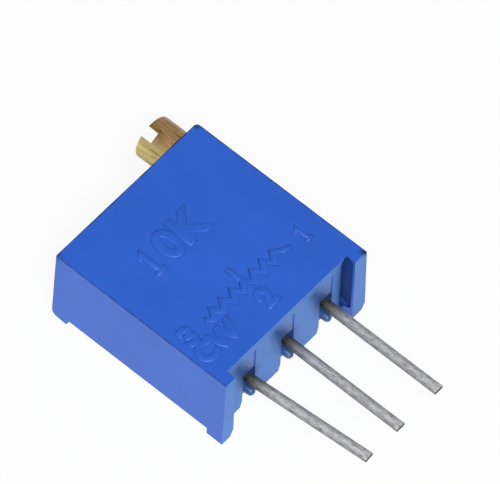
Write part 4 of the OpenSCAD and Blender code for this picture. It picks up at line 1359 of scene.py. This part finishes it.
def floor_material():
    """Pale floor that the camera and reflections see as nearly white, with some of its real shadow kept."""
    material = bpy.data.materials.new("pale_floor")
    material.use_nodes = True
    tree = material.node_tree
    tree.nodes.clear()
    output = tree.nodes.new("ShaderNodeOutputMaterial")
    paper = add_node(tree, "ShaderNodeBsdfDiffuse", color=(0.9, 0.9, 0.9, 1))
    glow = tree.nodes.new("ShaderNodeEmission")
    blend = tree.nodes.new("ShaderNodeMixShader")
    tree.links.new(seen_share(tree, FLOOR_SEEN, FLOOR_MIRRORED), blend.inputs["Fac"])
    tree.links.new(paper.outputs[0], blend.inputs[1])
    tree.links.new(glow.outputs[0], blend.inputs[2])
    tree.links.new(blend.outputs[0], output.inputs["Surface"])
    return material


def light_world(scene, level):
    """An even dim sky that the camera sees as white."""
    scene.world = scene.world or bpy.data.worlds.new("studio")
    scene.world.use_nodes = True
    tree = scene.world.node_tree
    tree.nodes.clear()
    output = tree.nodes.new("ShaderNodeOutputWorld")
    sky = tree.nodes.new("ShaderNodeBackground")
    strength = math_node(tree, "ADD", seen_share(tree, 1 - level, SKY_MIRRORED - level), level)
    tree.links.new(strength, sky.inputs["Strength"])
    tree.links.new(sky.outputs[0], output.inputs["Surface"])


def area_light(name, place, target, size, power):
    """A soft square lamp at a place, aimed at a target."""
    lamp = bpy.data.lights.new(name, "AREA")
    lamp.size = size
    lamp.energy = power
    shape = bpy.data.objects.new(name, lamp)
    place = Vector(place)
    turn = (target - place).to_track_quat("-Z", "Y")
    shape.matrix_world = Matrix.Translation(place) @ turn.to_matrix().to_4x4()
    bpy.context.scene.collection.objects.link(shape)


class TRIMMER_OT_stage(bpy.types.Operator):
    """Sets the floor, the light and the camera"""

    bl_idname = "trimmer.stage"
    bl_label = "Stage"

    def execute(self, context):
        scene = context.scene
        settings = scene.trimmer_stage
        scene.view_settings.view_transform = "Standard"
        bm = bmesh.new()
        bmesh.ops.create_grid(bm, x_segments=1, y_segments=1, size=FLOOR_SIZE)
        bmesh.ops.translate(bm, vec=(0, 0, CASE_LOW.z * MM), verts=bm.verts)
        floor = solid(bm, "floor")
        floor.data.materials.append(floor_material())
        light_world(scene, settings.sky)
        centre = Vector((0, (CASE_LOW.y + CASE_HIGH.y) / 2, 0)) * MM
        area_light("key_lamp", KEY_PLACE, centre, KEY_SIZE, settings.key_power)
        area_light("side_lamp", SIDE_PLACE, centre, SIDE_SIZE, settings.fill_power)

        turn, height, roll = settings.azimuth, settings.elevation, settings.roll
        right = Vector((math.cos(turn), math.sin(turn), 0))
        away = Vector((math.sin(turn), -math.cos(turn), 0))
        back = away * math.cos(height) + Vector((0, 0, math.sin(height)))
        up = back.cross(right)
        side = math.cos(roll) * right + math.sin(roll) * up
        head = math.cos(roll) * up - math.sin(roll) * right
        camera = bpy.data.cameras.new("photo_camera")
        camera.lens = settings.lens
        camera.sensor_width = SENSOR_WIDTH
        camera.clip_start = CAMERA_NEAR
        shape = bpy.data.objects.new("photo_camera", camera)
        place = centre + settings.aside * side + settings.above * head + settings.distance * back
        shape.matrix_world = Matrix.Translation(place) @ Matrix((side, head, back)).transposed().to_4x4()
        scene.collection.objects.link(shape)
        scene.camera = shape
        return {"FINISHED"}


class TRIMMER_PT_pieces(bpy.types.Panel):
    """Lists the pieces of the trimmer"""

    bl_label = "Trimmer potentiometer"
    bl_idname = "TRIMMER_PT_pieces"
    bl_space_type = "VIEW_3D"
    bl_region_type = "UI"
    bl_category = "Trimmer"

    def draw(self, context):
        for operator in OPERATORS:
            self.layout.operator(operator.bl_idname)


OPERATORS = (TRIMMER_OT_stage, TRIMMER_OT_housing, TRIMMER_OT_marks, TRIMMER_OT_screw,
             TRIMMER_OT_terminals, TRIMMER_OT_resin, TRIMMER_OT_inner)
GROUPS = {"trimmer_housing": HousingSizes, "trimmer_marks": MarkSizes, "trimmer_screw": ScrewSizes,
          "trimmer_wires": WireSizes, "trimmer_resin": ResinSizes, "trimmer_finishes": Finishes,
          "trimmer_stage": StageSettings}


def register():
    for group in GROUPS.values():
        bpy.utils.register_class(group)
    for name, group in GROUPS.items():
        setattr(bpy.types.Scene, name, PointerProperty(type=group))
    for cls in (*OPERATORS, TRIMMER_PT_pieces):
        bpy.utils.register_class(cls)


def unregister():
    for cls in (TRIMMER_PT_pieces, *reversed(OPERATORS)):
        bpy.utils.unregister_class(cls)
    for name, group in reversed(GROUPS.items()):
        delattr(bpy.types.Scene, name)
        bpy.utils.unregister_class(group)


def main():
    register()
    bpy.ops.trimmer.stage()
    bpy.ops.trimmer.housing()
    bpy.ops.trimmer.marks()
    bpy.ops.trimmer.screw()
    bpy.ops.trimmer.terminals()
    bpy.ops.trimmer.resin()
    bpy.ops.trimmer.inner()


if __name__ == "__main__":
    main()
